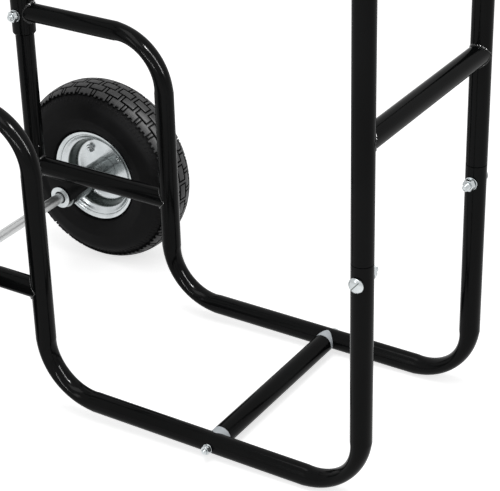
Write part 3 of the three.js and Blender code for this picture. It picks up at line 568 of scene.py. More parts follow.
def welded_tube(name, ends, bead=BEAD_RADIUS):
    """A straight tube between two upright legs, coped at both ends and welded all round."""
    tube = bent_tube(name, ends, [], (PLAIN, PLAIN))
    run = (ends[1] - ends[0]).normalized()
    beads = []
    for end, outward in zip(ends, (-run, run)):
        cope_end(tube, end, outward, UP, TUBE_RADIUS)
        beads.append(weld_bead(f"{name}_bead", end, outward, UP, TUBE_RADIUS, TUBE_RADIUS, bead))
    return join_pieces(tube, *beads)


print("weld beads from", 2000 * BEAD_RADIUS, "to", 2000 * SLEEVE_BEAD_RADIUS, "mm thick")

# %% [markdown]
# ## Braces
# A straight tube joins the legs of each hoop. Both of its ends are coped and welded.

# %% Braces and their welds
for place, y, z in (("front", 0.0, FRONT_BRACE_Z), ("rear", UPRIGHT_Y, REAR_BRACE_Z)):
    half = SIDE_X - TUBE_RADIUS
    brace = welded_tube(f"{place}_brace_painted", [Vector((-half, y, z)), Vector((half, y, z))])
    finish_piece(brace, PAINT, f"{place}_brace")
    print(brace.name, round(2000 * half), "mm long")

# %% [markdown]
# ## Turned pieces
# Sleeves, rims, tyres, hubs, washers and bolts are all round. Each is drawn as half a section, one point
# extruded to the next, and spun a full turn about its axis. Corner cutting rounds the edges of a pressed
# or moulded piece before it is spun.

# %% Helpers for turned pieces
def soften(outline, rounds=1, share=0.25):
    """Cuts each corner of an open outline, and keeps its two ends."""
    for _ in range(rounds):
        cut = [outline[0]]
        for (a, b), (c, d) in zip(outline, outline[1:]):
            cut += [(a + (c - a) * share, b + (d - b) * share), (c + (a - c) * share, d + (b - d) * share)]
        outline = [*cut, outline[-1]]
    return outline


def turned(name, outline, axis=ACROSS, centre=(0, 0, 0), steps=48, closed=True):
    """Spins an outline of (along, radius) points a full turn about an axis."""
    spoke = axis.orthogonal().normalized()
    centre = Vector(centre)
    piece = draw_outline(name, [centre + axis * along + spoke * radius for along, radius in outline], closed)
    bpy.ops.mesh.spin(steps=steps, angle=2 * math.pi, center=centre, axis=axis)
    close_shell()
    return piece


def bevelled_box_outline(start, end, inner, outer, edge):
    """Half a section of a ring with its four corners cut."""
    return [(start + edge, inner), (start, inner + edge), (start, outer - edge), (start + edge, outer),
            (end - edge, outer), (end, outer - edge), (end, inner + edge), (end - edge, inner)]


# %% [markdown]
# ## Sleeves, sockets and rails
# The step is welded to a thick sleeve with turned edges, and the rail below it to a short socket. The
# upright slides down through the sleeve and plugs into the socket.

# %% Sleeves, rails and sockets
for hand, side in SIDES.items():
    x = side * SIDE_X
    sleeve = turned(
        f"rear_sleeve_{hand}_painted",
        bevelled_box_outline(0, SLEEVE_LENGTH, TUBE_RADIUS + SEAM_GAP, SLEEVE_RADIUS, SLEEVE_EDGE),
        UP, (x, UPRIGHT_Y, SLEEVE_FOOT_Z))
    step_end = Vector((x, UPRIGHT_Y - SLEEVE_RADIUS, STEP_Z))
    bead = weld_bead(f"sleeve_bead_{hand}", step_end, ALONG, UP, TUBE_RADIUS, SLEEVE_RADIUS,
                     SLEEVE_BEAD_RADIUS)
    join_pieces(sleeve, bead)
    finish_piece(sleeve, PAINT, f"rear_sleeve_{hand}")

    rail_ends = [Vector((x, y, RAIL_Z)) for y in (RISER_Y + TUBE_RADIUS, UPRIGHT_Y - TUBE_RADIUS)]
    rail = welded_tube(f"axle_rail_{hand}_painted", rail_ends, RAIL_BEAD_RADIUS)
    socket = turned(
        f"socket_{hand}",
        bevelled_box_outline(0, SOCKET_TOP_Z - SOCKET_FOOT_Z, BORE_RADIUS, TUBE_RADIUS, EDGE),
        UP, (x, UPRIGHT_Y, SOCKET_FOOT_Z))
    join_pieces(rail, socket)
    finish_piece(rail, PAINT, f"axle_rail_{hand}")
    print(sleeve.name, "and", rail.name)

# %% [markdown]
# ## Axle plates
# A flat plate hangs from each rail and narrows to a round tip under the axle. It is drawn as an outline,
# filled, given its thickness and its edges are broken. A weld runs along its top edge on both faces.

# %% Axle plates
PLATE_THICKNESS = 0.004
PLATE_EDGE = 0.0006
PLATE_TOP = RAIL_Z - TUBE_RADIUS - SEAM_GAP - AXLE_Z
PLATE_TIP = 0.013
PLATE_FRONT, PLATE_REAR = -0.050, 0.024
BEAD_MARGIN = 0.003


def plate_outline():
    """(y, z) points about the axle: the top edge, then the arc round the tip."""
    def tangent(reach, turn):
        return math.atan2(PLATE_TOP, reach) + turn * math.acos(PLATE_TIP / math.hypot(reach, PLATE_TOP))
    first, last = tangent(PLATE_FRONT, 1), 2 * math.pi + tangent(PLATE_REAR, -1)
    arc = [first + (last - first) * k / 20 for k in range(21)]
    return [(PLATE_REAR, PLATE_TOP), (PLATE_FRONT, PLATE_TOP),
            *((PLATE_TIP * math.cos(a), PLATE_TIP * math.sin(a)) for a in arc)]


def axle_plate(name, x):
    """The outline is filled, made as thick as the plate, and its edges are broken."""
    half = PLATE_THICKNESS / 2
    piece = draw_outline(name, [Vector((x - half, AXLE_Y + a, AXLE_Z + b)) for a, b in plate_outline()], True)
    bpy.ops.mesh.remove_doubles(threshold=0.00001)
    bpy.ops.mesh.edge_face_add()
    extrude((PLATE_THICKNESS, 0, 0))
    close_shell()
    bevel = piece.modifiers.new("edge", "BEVEL")
    bevel.width, bevel.segments, bevel.limit_method = PLATE_EDGE, 2, "ANGLE"
    activate(piece)
    bpy.ops.object.modifier_apply(modifier=bevel.name)
    return piece


def straight_bead(name, start, end, radius):
    """A weld along a straight edge, with rounded ends and a ripple."""
    along = (end - start).normalized()
    tip = ((0.6 * radius, 0.7 * radius), (0.9 * radius, 0.2 * radius))
    piece = bent_tube(name, [start, end], [], (tip, tip), radius, 12)
    activate(piece)
    bpy.ops.object.mode_set(mode="EDIT")
    bpy.ops.mesh.select_all(action="DESELECT")
    bpy.ops.mesh.select_non_manifold()
    bpy.ops.mesh.edge_face_add()
    bpy.ops.object.mode_set(mode="OBJECT")
    return piece


for hand, side in SIDES.items():
    x = side * SIDE_X
    plate = axle_plate(f"axle_plate_{hand}_painted", x)
    beads = []
    for face in (-1, 1):
        front, rear = (Vector((x + face * PLATE_THICKNESS / 2, AXLE_Y + reach, AXLE_Z + PLATE_TOP - EDGE))
                       for reach in (PLATE_FRONT + BEAD_MARGIN, PLATE_REAR - BEAD_MARGIN))
        beads.append(straight_bead(f"plate_bead_{hand}", front, rear, PLATE_BEAD_RADIUS))
    join_pieces(plate, *beads)
    finish_piece(plate, PAINT, f"axle_bracket_{hand}")
    print(plate.name, "with", len(beads), "welds")

# %% [markdown]
# ## Bottom crossbar
# A loose tube lies between the side tubes, held by one long bolt. At each end a pale moulded saddle
# plugs into it, and is hollowed to sit against the side tube.

# %% Crossbar and saddles
SADDLE_WAIST = 0.005
CROSSBAR_END = SIDE_X - TUBE_RADIUS - SADDLE_WAIST
SPIGOT_LENGTH, SPIGOT_BORE = 0.012, 0.005
SPIGOT = ((EDGE, TUBE_RADIUS - EDGE), (EDGE, PLUG_RADIUS), (SPIGOT_LENGTH, PLUG_RADIUS),
          (SPIGOT_LENGTH, SPIGOT_BORE))
crossbar = bent_tube("bottom_crossbar_painted",
                     [(-CROSSBAR_END, CROSSBAR_Y, BOTTOM_Z), (CROSSBAR_END, CROSSBAR_Y, BOTTOM_Z)],
                     [], (LIP, LIP))
finish_piece(crossbar, PAINT, "bottom_crossbar")
for hand, side in SIDES.items():
    outward = ACROSS * side
    start = Vector((side * (CROSSBAR_END + 3 * SEAM_GAP), CROSSBAR_Y, BOTTOM_Z))
    end = Vector((side * (SIDE_X - TUBE_RADIUS - SEAM_GAP), CROSSBAR_Y, BOTTOM_Z))
    saddle = bent_tube(f"crossbar_saddle_{hand}_moulded", [start, end], [], (SPIGOT, PLAIN))
    cope_end(saddle, end, outward, ALONG, TUBE_RADIUS + SEAM_GAP)
    finish_piece(saddle, SADDLE, f"crossbar_saddle_{hand}")
    print(saddle.name, "from", round(start.x, 4), "to", round(end.x, 4))

# %% [markdown]
# ## Fasteners
# Screw threads are modelled as close rings on the tails that show past their nuts. A nut or bolt head is
# a six-sided cylinder, and cutting it with a turned blank gives the round chamfer of the real ones. A domed
# bolt head is part of a circle spun about its axis, with a slot sawn across it.

# %% Helpers for fasteners
BOLT_RADIUS, WASHER_RADIUS, NUT_FLATS, NUT_HEIGHT = 0.004, 0.008, 0.013, 0.0065
LARGE_SIZE = BOLT_RADIUS, WASHER_RADIUS, NUT_FLATS, NUT_HEIGHT
SMALL_RADIUS, SMALL_WASHER_RADIUS, SMALL_FLATS, SMALL_NUT_HEIGHT = 0.003, 0.006, 0.010, 0.005
SMALL_SIZE = SMALL_RADIUS, SMALL_WASHER_RADIUS, SMALL_FLATS, SMALL_NUT_HEIGHT
SMALL_HEAD_HEIGHT = 0.004
FRONT_TAIL, REAR_TAIL, TIE_TAIL, RIM_TAIL = 0.008, 0.0045, 0.004, 0.002
WASHER_THICKNESS = 0.0016
DOME_RADIUS = 0.0088
DOME_HEIGHT = 0.005
NUT_SEAT = 2 * SEAM_GAP + WASHER_THICKNESS
THREAD_PITCH, THREAD_DEPTH = 0.00125, 0.0004
LARGE_THREAD, TIE_THREAD, RIM_THREAD = 0.008, 0.006, 0.003
BOLT_TIP, TIP_ROUNDNESS = 0.0015, 0.7
NUT_TAPER = 0.0009
SLOT_SIZE = (0.0034, 0.0011, 0.03)
SLOT_TURN = math.radians(-40)


def threaded_outline(length, radius, thread):
    """A solid pin from 0 to length whose last stretch is ringed like a thread, as (along, radius) points."""
    outline = [(0, 0), (0, radius)]
    for k in range(round((thread - 0.001) / THREAD_PITCH)):
        start = length - thread + k * THREAD_PITCH
        outline += [(start, radius), (start + THREAD_PITCH / 2, radius - THREAD_DEPTH)]
    for k in range(5):
        angle = k / 4 * math.pi / 2
        outline.append((length - BOLT_TIP * (1 - math.sin(angle)),
                        (radius - HAIR) * math.cos(angle) ** TIP_ROUNDNESS))
    return [*outline[:-1], (length, 0)]


def cut_with(piece, cutter, operation="DIFFERENCE"):
    cut = piece.modifiers.new("cut", "BOOLEAN")
    cut.object, cut.operation, cut.solver = cutter, operation, "EXACT"
    activate(piece)
    bpy.ops.object.modifier_apply(modifier=cut.name)
    bpy.data.meshes.remove(cutter.data)
    return piece


def drill(piece, centre, axis, start, end, radius, steps=32):
    """Cuts a round hole along an axis, from start to end as measured from the centre."""
    hole = [(start, 0), (start, radius), (end, radius), (end, 0)]
    cut_with(piece, turned("hole", hole, axis, centre, steps, False))


def hexagon(name, x0, x1, y, z, flats, turn=0.0, bore=0.0):
    """A nut or bolt head: a six-sided bar, cut by a turned blank with chamfered ends."""
    corner = flats / 2 / math.cos(math.pi / 6)
    half = abs(x1 - x0) / 2
    middle = ((x0 + x1) / 2, y, z)
    deselect_all()
    bpy.ops.mesh.primitive_cylinder_add(vertices=6, radius=corner, depth=2 * half, location=middle,
                                        rotation=(turn, math.pi / 2, 0))
    piece = edit_new(name)
    bpy.ops.object.mode_set(mode="OBJECT")
    face, clear, waist = flats / 2 - EDGE, half + HAIR, half - NUT_TAPER
    blank = [(-clear, 0), (-clear, face), (-waist, corner + 2 * HAIR), (waist, corner + 2 * HAIR),
             (clear, face), (clear, 0)]
    cut_with(piece, turned("blank", blank, ACROSS, middle, 48, False), "INTERSECT")
    if bore:
        drill(piece, middle, ACROSS, -2 * half, 2 * half, bore)
    return piece


def flat_ring(name, x, y, z, outer, hole, thickness, edge=2 * HAIR):
    section = bevelled_box_outline(-thickness / 2, thickness / 2, hole, outer, edge)
    return turned(name, section, ACROSS, (x, y, z))


def washer_and_nut(label, face_x, side, y, z, size, turn):
    """The washer against a face and the nut behind it, whose turn is where the spanner left it."""
    bolt_radius, washer_radius, flats, height = size
    middle = face_x - side * (SEAM_GAP + WASHER_THICKNESS / 2)
    ring = flat_ring(label.format("washer") + "_plated", middle, y, z, washer_radius, bolt_radius + HOLE_GAP,
                     WASHER_THICKNESS)
    finish_piece(ring, ZINC, label.format("washer"))
    near = face_x - side * NUT_SEAT
    nut = hexagon(label.format("nut") + "_plated", near, near - side * height, y, z, flats, turn,
                  bolt_radius + SEAM_GAP)
    finish_piece(nut, ZINC, label.format("nut"))


def dome_bolt(name, side, seat, tip, y, z):
    """A domed bolt from its head's seat to its tip. Faces down in the slot carry a mark for a darker zinc
    colour, painted shade in the slot.
    """
    outward = ACROSS * side
    rim = DOME_HEIGHT / 5
    dome = [(0, 0), (0, DOME_RADIUS - 2 * HAIR), (2 * HAIR, DOME_RADIUS)]
    for k in range(13):
        angle = k / 12 * math.pi / 2
        dome.append((rim + (DOME_HEIGHT - rim) * math.sin(angle), DOME_RADIUS * math.cos(angle)))
    piece = turned(name, dome, outward, (seat, y, z), 48, False)
    deselect_all()
    bpy.ops.mesh.primitive_cube_add(size=1, location=(seat + side * DOME_HEIGHT, y, z), scale=SLOT_SIZE)
    slot = edit_new("slot")
    bpy.ops.transform.rotate(value=SLOT_TURN, orient_axis="X", center_override=(seat, y, z))
    bpy.ops.object.mode_set(mode="OBJECT")
    cut_with(piece, slot)

    def in_slot(face):
        height = side * (face.center.x - seat)
        reach = math.hypot(face.center.y - y, face.center.z - z) / DOME_RADIUS
        dome_height = rim + (DOME_HEIGHT - rim) * math.sqrt(max(0, 1 - reach ** 2))
        return EDGE < height < dome_height - EDGE

    # The faces down in the slot get the darker colour: painted shade.
    mark_faces(piece, "dull", in_slot)
    thread = threaded_outline(abs(tip - seat), BOLT_RADIUS, LARGE_THREAD)
    return join_pieces(piece, turned(f"{name}_stem", thread, -outward, (seat, y, z), 32, False))


print("bolts of", 2000 * BOLT_RADIUS, "and", 2000 * SMALL_RADIUS, "mm")

# %% Frame bolts, washers and nuts
for hand, side in SIDES.items():
    for place, radius, tail, y, z in (("front", TUBE_RADIUS, FRONT_TAIL, 0.0, FRONT_BOLT_Z),
                                      ("rear", SLEEVE_RADIUS, REAR_TAIL, UPRIGHT_Y, REAR_BOLT_Z)):
        bolt = dome_bolt(f"{place}_bolt_{hand}_plated", side, side * (SIDE_X + radius + SEAM_GAP),
                         side * (SIDE_X - radius - NUT_SEAT - NUT_HEIGHT - tail), y, z)
        finish_piece(bolt, ZINC, f"{place}_bolt_{hand}")
        washer_and_nut(f"{place}_{{}}_{hand}", side * (SIDE_X - radius), side, y, z, LARGE_SIZE, 0.3)
    print("bolts, washers and nuts of the", hand, "side")

# %% Crossbar bolt
tube_face = SIDE_X + TUBE_RADIUS
tie_seat = tube_face + SEAM_GAP
tie_length = tie_seat + tube_face + NUT_SEAT + SMALL_NUT_HEIGHT + TIE_TAIL
tie_head = hexagon("tie_bolt_plated", tie_seat, tie_seat + SMALL_HEAD_HEIGHT, CROSSBAR_Y, BOTTOM_Z,
                   SMALL_FLATS, 0.2)
tie_stem = turned("tie_stem", threaded_outline(tie_length, SMALL_RADIUS, TIE_THREAD), -ACROSS,
                  (tie_seat, CROSSBAR_Y, BOTTOM_Z), 32, False)
join_pieces(tie_head, tie_stem)
finish_piece(tie_head, ZINC, "tie_bolt")
washer_and_nut("tie_{}", -tube_face, 1, CROSSBAR_Y, BOTTOM_Z, SMALL_SIZE, 0.1)
print("crossbar bolt is", round(tie_length * 1000), "mm long")

# %% [markdown]
# ## Axle
# One plain rod runs from wheel to wheel. A thin washer lies against each plate, with a hole that is wide
# for the rod, and so shows as a dark crescent. Outside each hub are another washer and a split pin.

# %% Axle rod, washers and split pins
AXLE_WASHER_RADIUS = 0.015
AXLE_WASHER_THICKNESS = 0.0025
INNER_WASHER_HOLE = 0.0085
PIN_RADIUS = 0.0015
PIN_LEG = 0.013
PIN_TIP = 0.0006
EYE_RADIUS = 0.0034
OUTER_WASHER_X = WHEEL_X + HUB_OUTER_REACH + RUNNING_GAP + AXLE_WASHER_THICKNESS / 2
PIN_X = OUTER_WASHER_X + AXLE_WASHER_THICKNESS / 2 + SEAM_GAP + PIN_RADIUS
ROD_END = PIN_X + 0.007
ROD_EDGE = 0.001
INNER_WASHER_X = SIDE_X - PLATE_THICKNESS / 2 - SEAM_GAP - AXLE_WASHER_THICKNESS / 2


def split_pin(name, side):
    """Wire that is bent round an eye above the rod; its legs are pressed together below."""
    centre = Vector((side * PIN_X, AXLE_Y, AXLE_Z))
    eye = centre + Vector((0, EYE_RADIUS, AXLE_RADIUS + EYE_RADIUS + PIN_RADIUS + RUNNING_GAP))
    foot = centre - UP * PIN_LEG
    deselect_all()
    bpy.ops.mesh.primitive_circle_add(vertices=16, radius=PIN_RADIUS * 0.6, fill_type="NGON", location=foot)
    piece = edit_new(name)
    ring_extrude(foot, UP * PIN_TIP, PIN_RADIUS * 0.6, PIN_RADIUS)
    extrude(UP * (eye.z - foot.z - PIN_TIP))
    bpy.ops.mesh.spin(steps=24, angle=1.4 * math.pi, center=eye, axis=ACROSS)
    close_shell()
    return piece


rod_end = [(ROD_END - ROD_EDGE, AXLE_RADIUS), (ROD_END, AXLE_RADIUS - ROD_EDGE), (ROD_END, 0)]
rod_outline = [*((-x, radius) for x, radius in reversed(rod_end)), *rod_end]
axle_rod = turned("axle_rod_plated", rod_outline, ACROSS, (0, AXLE_Y, AXLE_Z), 48, False)
for side in SIDES.values():
    drill(axle_rod, (side * PIN_X, AXLE_Y, AXLE_Z), UP, -0.02, 0.02, PIN_RADIUS + SEAM_GAP, 24)
finish_piece(axle_rod, STEEL_ROD, "axle_rod")
for hand, side in SIDES.items():
    for place, x, hole in (("inner", INNER_WASHER_X, INNER_WASHER_HOLE),
                           ("outer", OUTER_WASHER_X, AXLE_RADIUS + HOLE_GAP)):
        ring = flat_ring(f"axle_washer_{place}_{hand}_plated", side * x, AXLE_Y, AXLE_Z,
                         AXLE_WASHER_RADIUS, hole, AXLE_WASHER_THICKNESS, 0.0004)
        finish_piece(ring, ZINC, f"axle_washer_{place}_{hand}")
    pin = split_pin(f"split_pin_{hand}", side)
    finish_piece(pin, ZINC, f"cotter_pin_{hand}", angle=60)
print("axle rod is", round(2 * ROD_END * 1000), "mm long")

# %% [markdown]
# ## Handle grip
# A foam sleeve is pushed over the middle of the handle. Foam is open and dull, so its relief is coarse.

# %% Grip
GRIP_HALF = 0.059
GRIP_WALL = 0.0045
GRIP_EDGE = 0.002
grip_bore = TUBE_RADIUS + SEAM_GAP
grip_radius = grip_bore + GRIP_WALL
grip_side = [(GRIP_HALF, grip_bore), (GRIP_HALF, grip_radius - GRIP_EDGE),
             (GRIP_HALF - GRIP_EDGE, grip_radius)]
grip_outline = soften([*grip_side, *((-x, radius) for x, radius in reversed(grip_side))], 2)
grip = turned("handle_grip_foam", grip_outline, ACROSS, (0, GRIP_Y, GRIP_Z), 64)
finish_piece(grip, FOAM, "handle_grip")
print(grip.name, round(2 * GRIP_HALF * 1000), "mm long")

# %% [markdown]
# ## Wheels
# Both wheels are the same, so one is built round its own axis and copied to the other side with a half
# turn about z. The tyre is one outline of rubber, spun in as many steps as the tread has cells. The tread
# blocks are then picked out of that grid of faces and raised, because the grooves between real blocks
# all share one floor.

# %% Tyre outline
TREAD_BLOCKS = 30
BLOCK_CELLS = 20
BLOCK_LENGTH = 15
TREAD_DEPTH = 0.0030
BLOCK_EDGE = 0.00025
CROWN_HEIGHT = 0.038
CROWN_POWER = 2.4
CROWN_INSET_END, CROWN_INSET_FADE = 0.048, 0.015
TREAD_ROWS = (("block", 0.00275, 2), ("groove", 0.0013, 1), ("block", 0.0035, 3), ("groove", 0.0013, 1),
              ("block", 0.0033, 3), ("tooth", 0.0024, 1), ("gap", 0.003, 1), ("lug", 0.0035, 2))


def tyre_side_point(share):
    """A point of the tyre's crown: share 0 is the middle of the tread, 1 the widest part of the wall."""
    angle = share * math.pi / 2
    base = TYRE_RADIUS - CROWN_HEIGHT
    power = 2 / CROWN_POWER
    return (TYRE_WIDTH / 2 * math.sin(angle) ** power, base + CROWN_HEIGHT * math.cos(angle) ** power)


def crown_points(distances, insets):
    """Points at distances along the crown from its middle, each moved in by its inset."""
    fine = [tyre_side_point(k / 4000) for k in range(4001)]
    points, length, k = [], 0.0, 1
    for distance, inset in zip(distances, insets):
        while length < distance and k < len(fine) - 1:
            length += math.dist(fine[k - 1], fine[k])
            k += 1
        run = Vector(fine[k]) - Vector(fine[k - 1])
        run.normalize()
        points.append((fine[k - 1][0] + run.y * inset, fine[k - 1][1] - run.x * inset))
    return points


tread_distances, tread_cells = [0.0], []
for row, (kind, width, cells) in enumerate(TREAD_ROWS):
    for _ in range(cells):
        tread_distances.append(tread_distances[-1] + width)
        tread_cells.append((row, kind))
tread_insets = [TREAD_DEPTH * min(1, (CROWN_INSET_END - distance) / CROWN_INSET_FADE)
                for distance in tread_distances]
tread_half = crown_points(tread_distances, tread_insets)
print(len(tread_cells), "cells from middle to shoulder,", round(tread_distances[-1] * 1000, 1), "mm of crown")

# %% [markdown]
# The rim is pressed from two sheets that are bolted back to back. One outline of its visible face gives
# the sheet, and moved by the sheet's thickness it gives the seat on which the tyre's bead rests.

# %% Rim outline
RIM_SHEET = 0.002
DISC_FACE = RIM_SHEET + SEAM_GAP / 2
RIM_FACE = [(0.029, 0.065), (0.0278, 0.061), (0.0215, 0.0545), (0.0195, 0.0505), (DISC_FACE + 0.002, 0.0465),
            (DISC_FACE, 0.043), (DISC_FACE, HUB_RADIUS + SEAM_GAP)]


def moved_outline(outline, distance):
    """The outline moved sideways, with mitred corners."""
    normals = []
    for (a, b), (c, d) in zip(outline, outline[1:]):
        normals.append(Vector((c - a, d - b)).normalized().orthogonal())
    moved = []
    for k, (a, b) in enumerate(outline):
        before, after = normals[max(k - 1, 0)], normals[min(k, len(normals) - 1)]
        mitre = (before + after).normalized()
        mitre *= distance / mitre.dot(before)
        moved.append((a + mitre.x, b + mitre.y))
    return moved


rim_back = moved_outline(RIM_FACE, -RIM_SHEET)
print("the back of the rim sheet has", len(rim_back), "corners")

# %% Tyre
# Ribs of the side wall: the step that each stands on, and its height.
SIDEWALL_RIBS = {1: 0.0006, 2: 0.0006, 12: 0.0007}
WALL_STEPS = 16
WALL_FOOT_RADIUS = 0.067
BEAD_THICKNESS = 0.006
TREAD_SLOPE = 0.15
SMALLEST_CELL = 4e-7
WHEEL_STEPS = TREAD_BLOCKS * BLOCK_CELLS


def tyre_outline():
    """Half a section of the tyre, from the middle of the tread to the bead and back inside."""
    shoulder = crown_points([tread_distances[-1] + 0.004 * (k + 1) for k in range(3)],
                            [TREAD_DEPTH * fade for fade in (0.2, 0.15, 0.1)])
    seat = moved_outline(RIM_FACE, -RIM_SHEET - SEAM_GAP)[1:4]
    base, foot_x = TYRE_RADIUS - CROWN_HEIGHT, seat[0][0]
    bulge = TYRE_WIDTH / 2 - max(SIDEWALL_RIBS.values()) - foot_x
    wall = []
    for k in range(WALL_STEPS + 1):
        angle = k / WALL_STEPS * math.pi / 2
        wall.append((foot_x + bulge * math.cos(angle) + SIDEWALL_RIBS.get(k, 0),
                     base - (base - WALL_FOOT_RADIUS) * math.sin(angle)))
    toe = (seat[-1][0], seat[-1][1] + BEAD_THICKNESS)
    inside = [(0.030, 0.068), (0.034, 0.092), (0.030, 0.112), (0.018, 0.121), (0.0, 0.123)]
    return [*tread_half, *shoulder, *wall, *seat, toe, *inside]


def is_raised(row, kind, step):
    """Whether a cell of the tread stands up: blocks, the bridges between them, teeth and low lugs."""
    column = (step + (BLOCK_CELLS // 2 if (row // 2) % 2 else 0)) % BLOCK_CELLS
    bridge = BLOCK_LENGTH < column < BLOCK_CELLS - 1
    if kind == "block":
        return column < BLOCK_LENGTH or bridge
    if kind == "tooth":
        return column < BLOCK_LENGTH and column // 3 % 2 == 0
    return bridge if kind == "groove" else column % 5 == 0


def raise_cells(tyre, kinds, edge, lift, top):
    """Insets the chosen cells of the tread and lifts them off its floor, then rounds their tops."""
    activate(tyre)
    bpy.ops.object.mode_set(mode="EDIT")
    bpy.ops.mesh.select_all(action="DESELECT")
    mesh = bmesh.from_edit_mesh(tyre.data)
    reach = [x for x, radius in tread_half]
    for face in mesh.faces:
        centre = face.calc_center_median()
        spoke = Vector((0, centre.y, centre.z)).normalized()
        on_tread = face.normal.dot(spoke) >= TREAD_SLOPE and abs(centre.x) <= reach[-1]
        if not on_tread or face.calc_area() < SMALLEST_CELL:
            continue
        row, kind = tread_cells[next(k for k, x in enumerate(reach[1:]) if abs(centre.x) < x)]
        step = math.floor(math.atan2(centre.z, centre.y) / (2 * math.pi) * WHEEL_STEPS + 0.01)
        face.select = kind in kinds and is_raised(row, kind, step)
    bmesh.update_edit_mesh(tyre.data)
    bpy.ops.mesh.inset(thickness=edge, depth=lift - top)
    bpy.ops.mesh.inset(thickness=2 * top, depth=top)
    bpy.ops.object.mode_set(mode="OBJECT")


half_outline = tyre_outline()
other_half = [(-x, radius) for x, radius in reversed(half_outline[1:-1])]
tyre = turned("tyre_right_treaded", [*half_outline, *other_half], steps=WHEEL_STEPS)
raise_cells(tyre, ("lug",), 0.0001, 0.0006, 0.0002)
raise_cells(tyre, ("block", "groove", "tooth"), BLOCK_EDGE, TREAD_DEPTH, 0.0003)
# The block tops carry the mark for a lighter colour: painted light from above.
tops = {point for face in tyre.data.polygons if face.select for point in face.vertices}
mark_points(tyre, "scuff", lambda point: point.index in tops)
print(tyre.name, len(tyre.data.polygons), "faces")

# %% [markdown]
# The two halves of the rim are one sheet, mirrored. Points in the fold beside the disc carry a mark for a
# darker zinc colour, which is painted dark reflection and shade there; the hub's points carry it partway,
# as partly matt zinc and partly painted dark reflection. The air tube's valve comes out through a hole in the
# outer half.

# %% Rim, hub and bush
RIM_STEPS, HUB_STEPS = 96, 64
RIM_GROOVE = ((0.0262, 0.0594), (0.0253, 0.0594), (0.0252, 0.0584))
PAINTED_REFLECTION_FOLD = (0.0455, 0.0512)
HUB_MATT_AND_SHADE_SHARE = 0.6
HUB_WALL = 0.003


def rim_half(name, side):
    face = [*RIM_FACE[:2], *RIM_GROOVE, *RIM_FACE[2:]]
    sheet = [*soften(face, 2), *reversed(soften(rim_back, 2))]
    return turned(name, [(side * x, radius) for x, radius in sheet], steps=RIM_STEPS)


VALVE_TURN = math.radians(82)
VALVE_RADIUS = 0.003
VALVE_X = 0.0066
VALVE_LINE = Vector((0, -math.cos(VALVE_TURN), math.sin(VALVE_TURN)))
rim_inner = rim_half("rim_inner_half_right_pressed", -1)
rim_outer = rim_half("rim_outer_half_right_pressed", 1)
drill(rim_outer, (VALVE_X, 0, 0), VALVE_LINE, 0.036, 0.062, VALVE_RADIUS + HOLE_GAP)
# Points in the rim's fold get the darker colour: painted dark reflection and shade.
for half in (rim_inner, rim_outer):
    mark_points(half, "dull", lambda point: PAINTED_REFLECTION_FOLD[0] < math.hypot(point.co.y, point.co.z) < PAINTED_REFLECTION_FOLD[1])
HUB_REACH = -HUB_INNER_REACH, HUB_OUTER_REACH
hub_bore = HUB_RADIUS - HUB_WALL
hub = turned("hub_tube_right_plated", bevelled_box_outline(*HUB_REACH, hub_bore, HUB_RADIUS, 0.0005),
             steps=HUB_STEPS)
bush_section = bevelled_box_outline(*HUB_REACH, AXLE_RADIUS + RUNNING_GAP, hub_bore - SEAM_GAP, EDGE)
bush = turned("hub_bush_right_moulded", bush_section, steps=HUB_STEPS)
# The hub gets part of that darker colour: partly matt zinc, partly painted dark reflection.
mark_points(hub, "dull", lambda point: HUB_MATT_AND_SHADE_SHARE)
print("rim halves and hub, spun in", RIM_STEPS, "and", HUB_STEPS, "steps")

# %% Air tube and valve
AIR_TUBE_MIDDLE, AIR_TUBE_HEIGHT, AIR_TUBE_HALF_WIDTH = 0.092, 0.0305, 0.031
air_outline = [(AIR_TUBE_HALF_WIDTH * math.cos(k * math.pi / 12),
                AIR_TUBE_MIDDLE + AIR_TUBE_HEIGHT * math.sin(k * math.pi / 12)) for k in range(24)]
air_tube = turned("inner_tube_right_skin", air_outline, steps=RIM_STEPS)
stem_outline = [(0.0335, 0), (0.033, 0.0022), (0.0335, 0.0028)]
for k in range(4):
    stem_outline += [(0.0345 + 0.0012 * k, 0.0030), (0.0351 + 0.0012 * k, 0.0026)]
stem_outline += [(0.0395, 0.0026), (0.0402, VALVE_RADIUS), (0.066, VALVE_RADIUS), (0.066, 0)]
stem = turned("valve_stem", stem_outline, VALVE_LINE, (VALVE_X, 0, 0), 32, False)
join_pieces(air_tube, stem)
print(air_tube.name, "with its valve")

# %% Rim bolts
RIM_BOLT_CIRCLE = 0.035
FIRST_BOLT_TURN = math.radians(37)
rim_bolts = []
for k in range(4):
    angle = FIRST_BOLT_TURN + k * math.pi / 2
    y, z = -RIM_BOLT_CIRCLE * math.cos(angle), RIM_BOLT_CIRCLE * math.sin(angle)
    seat = DISC_FACE + SEAM_GAP
    nut = hexagon(f"rim_bolt_{k + 1}_right_plated", -seat - SMALL_NUT_HEIGHT, -seat, y, z, SMALL_FLATS, angle)
    head = hexagon("rim_head", seat, seat + SMALL_HEAD_HEIGHT, y, z, SMALL_FLATS, angle + 0.2)
    stem_start = seat + 0.001
    thread = threaded_outline(stem_start + seat + SMALL_NUT_HEIGHT + RIM_TAIL, SMALL_RADIUS, RIM_THREAD)
    stem = turned("rim_stem", thread, -ACROSS, (stem_start, y, z), 32, False)
    rim_bolts.append(join_pieces(nut, head, stem))
print(len(rim_bolts), "bolts through the rim")

